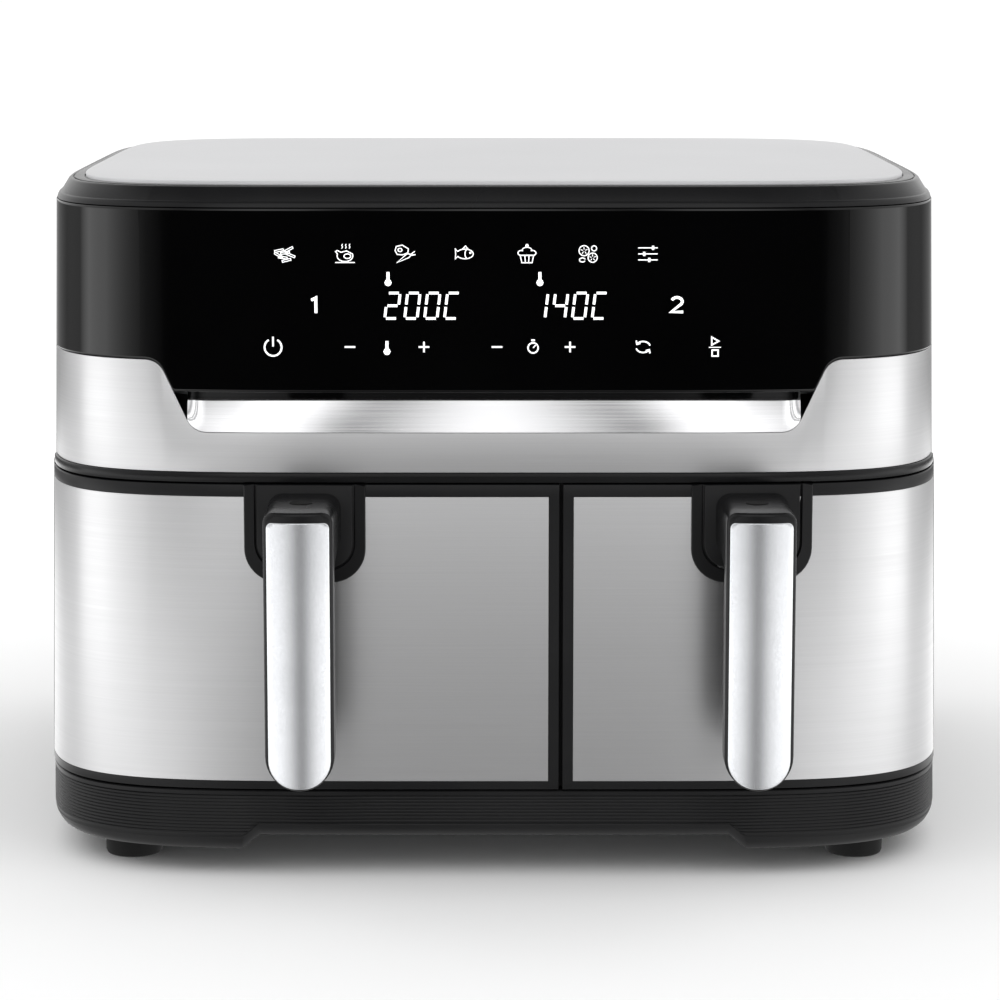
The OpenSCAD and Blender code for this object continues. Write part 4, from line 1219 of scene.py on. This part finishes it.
def basket(side):
    lo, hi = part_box(side + "_basket")
    edges = (lo.x + RIM_OUT, hi.x - RIM_OUT, lo.y, hi.y - 2 * MM)
    t = BASKET_T
    bend = [math.radians(a) for a in (0, 15, 30, 45, 60, 75, 90)]
    low = [(lo.z + FOLD * (1 - math.cos(a)), FOLD * (1 - math.sin(a))) for a in bend]
    high = [(lo.z + t + FOLD * (1 - math.cos(a)), t + FOLD * (1 - math.sin(a))) for a in bend]
    rim = [(hi.z - 3 * MM, 0), (hi.z - 2 * MM, -0.2 * MM), (hi.z - t, -0.6 * MM), (hi.z - t * 0.6, -0.9 * MM),
           (hi.z - 0.3 * MM, -0.8 * MM), (hi.z, -0.3 * MM), (hi.z, 0.3 * MM), (hi.z - 0.4 * MM, 0.8 * MM),
           (hi.z - 1.2 * MM, t - 0.2 * MM), (hi.z - 3 * MM, t)]
    bm = bmesh.new()
    drawn_pan(bm, edges, CORNER_R, low + rim + list(reversed(high)))
    y0, y1 = lo.y + CORNER_R, edges[3] - CORNER_R + 4 * MM
    for out, root, tip in ((-1, edges[0] - 0.2 * MM, lo.x), (1, edges[1] + 0.2 * MM, hi.x)):
        section = [(root, hi.z - t), (tip - out * 0.6 * MM, hi.z - t), (tip, hi.z - t + 0.6 * MM),
                   (tip - out * 0.2 * MM, hi.z - 0.2 * MM), (tip - out * 0.8 * MM, hi.z), (root, hi.z)]
        skin(bm, [[bm.verts.new((x, y, z)) for x, z in section] for y in (y0, y1)])
    obj = show(bm, side + "_coated_basket", nonstick, sharp=40)
    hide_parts(side + "_basket")
    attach(obj, side + "_drawer")


for side in ("left", "right"):
    basket(side)


# ---- Grids and their bumpers ------------------------------------------------------------
# Stamped steel grids with rows of round-ended slots and the same coating, a dished edge, and
# four soft bumpers of red-brown silicone that hold each grid clear of the basket.

def finish_nodes(mat, *names):
    """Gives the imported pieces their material."""
    for name in names:
        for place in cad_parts[name].material_slots:
            place.material = mat


finish_nodes(moulded_plastic("bumper_silicone", (0.17, 0.02, 0.014), (0.23, 0.03, 0.02), (0.5, 0.62),
                             0.01 * MM, 900, 0.4), "left_grid_bumpers", "right_grid_bumpers")
SLOT_W = 4 * MM
COLUMN_PITCH = 12 * MM


def slotted_grid(side):
    lo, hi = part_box(side + "_grid")
    top = hi.z
    bm = bmesh.new()
    drawn_pan(bm, (lo.x, hi.x, lo.y, hi.y), CORNER_R - 4.6 * MM,
              [(lo.z, 0.6 * MM), (lo.z + 0.3 * MM, 0.1 * MM), (top - 0.5 * MM, 0), (top - 0.15 * MM, 0.15 * MM),
               (top, 0.5 * MM)])
    obj = show(bm, side + "_slotted_grid", nonstick, sharp=50)
    columns = int((hi.x - lo.x - 36 * MM) / COLUMN_PITCH)
    long = (hi.y - lo.y - 60 * MM) / 3
    cutter = bmesh.new()
    for c in range(columns + 1):
        for row in range(3):
            x = (lo.x + hi.x) / 2 + (c - columns / 2) * COLUMN_PITCH
            y = lo.y + 20 * MM + row * (long + 10 * MM)
            outline = rounded_box(x - SLOT_W / 2, x + SLOT_W / 2, y, y + long, SLOT_W / 2 - 0.01 * MM, 4)
            skin(cutter, [[cutter.verts.new((px, py, z)) for px, py in outline]
                          for z in (lo.z - MM, top + MM)])
    cut_by(obj, cutter)
    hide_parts(side + "_grid")
    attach(obj, side + "_tray")


for side in ("left", "right"):
    slotted_grid(side)


# ---- Bays, deck, reflectors and rails ----------------------------------------------------
# Folded and drawn aluminised sheet steel: bright, a little mottled, with faint rolling lines.

def sheet_metal(name, dark, light, rough, lines=(3, 3, 260)):
    mat, tree, shader = new_material(name)
    patches = noise(tree, 45, detail=5)
    dress(tree, shader, patches, dark, light,
          {"Metallic": 1, "Roughness": spread(tree, patches, *rough)},
          noise(tree, 1, stretch=lines, detail=3), 0.01 * MM)
    return mat


finish_nodes(sheet_metal("aluminised_sheet", (0.42, 0.42, 0.43), (0.56, 0.56, 0.57), (0.3, 0.45)),
             "left_bay", "right_bay", "deck_plate", "drawer_rails", "left_reflector", "right_reflector")
finish_nodes(moulded_plastic("inner_plastic", (0.008, 0.008, 0.0085), (0.013, 0.013, 0.014), (0.5, 0.62),
                             0.03 * MM), "bay_frame", "upper_fascia")


# ---- Heaters, guards and fans ------------------------------------------------------------
# Heating rods of steel tube gone brown and blue with heat, a welded guard of bright wire,
# stamped aluminium fans for the hot air and moulded ones that cool the motors.

finish_nodes(sheet_metal("heated_tube", (0.075, 0.055, 0.045), (0.14, 0.12, 0.12), (0.35, 0.55), (30, 30, 30)),
             "left_heater", "right_heater")
finish_nodes(sheet_metal("bright_wire", (0.58, 0.58, 0.59), (0.66, 0.66, 0.67), (0.18, 0.28), (40, 40, 40)),
             "left_guard", "right_guard", "left_motor_shaft", "right_motor_shaft", "left_handle_screws",
             "right_handle_screws", "housing_screws", "temperature_probes")
finish_nodes(sheet_metal("stamped_aluminium", (0.66, 0.66, 0.67), (0.74, 0.74, 0.75), (0.28, 0.4),
                         (120, 120, 12)), "left_hot_fan", "right_hot_fan")
finish_nodes(moulded_plastic("fan_plastic", (0.03, 0.03, 0.032), (0.045, 0.045, 0.048), (0.4, 0.5), shine=0.5),
             "left_cooling_fan", "right_cooling_fan", "drawer_switches")
finish_nodes(sheet_metal("motor_steel", (0.30, 0.30, 0.31), (0.40, 0.40, 0.41), (0.35, 0.5), (4, 4, 1600)),
             "left_motor", "right_motor")


# ---- Boards, switches and lead gland -------------------------------------------------------
# Glass-fibre boards with a green lacquer, dark moulded parts on them, red plungers on the
# drawer switches and a rubber gland where the mains lead enters.

def lacquered_board():
    mat, tree, shader = new_material("green_board")
    where = node(tree, "TexCoord", {}).outputs["Object"]
    weave = node(tree, "TexBrick", {"Scale": 90, "Color1": (0.010, 0.075, 0.030, 1),
                                    "Color2": (0.012, 0.090, 0.036, 1), "Mortar": (0.020, 0.140, 0.060, 1),
                                    "Mortar Size": 0.012, "Vector": where})
    set_sockets(tree, shader.inputs, {"Base Color": weave.outputs["Color"],
                                      "Roughness": spread(tree, noise(tree, 30), 0.25, 0.4)})
    return mat


finish_nodes(lacquered_board(), "display_board", "main_board")
finish_nodes(moulded_plastic("display_module", (0.5, 0.5, 0.5), (0.6, 0.6, 0.6), (0.4, 0.5), shine=0.5),
             "led_modules")
finish_nodes(moulded_plastic("part_plastic", (0.02, 0.04, 0.12), (0.03, 0.06, 0.17), (0.35, 0.5), shine=0.5),
             "board_parts")
finish_nodes(moulded_plastic("plunger_plastic", (0.40, 0.02, 0.015), (0.48, 0.03, 0.02), (0.35, 0.5),
                             shine=0.5),
             "left_switch_plunger", "right_switch_plunger")
finish_nodes(rubber, "cord_gland")
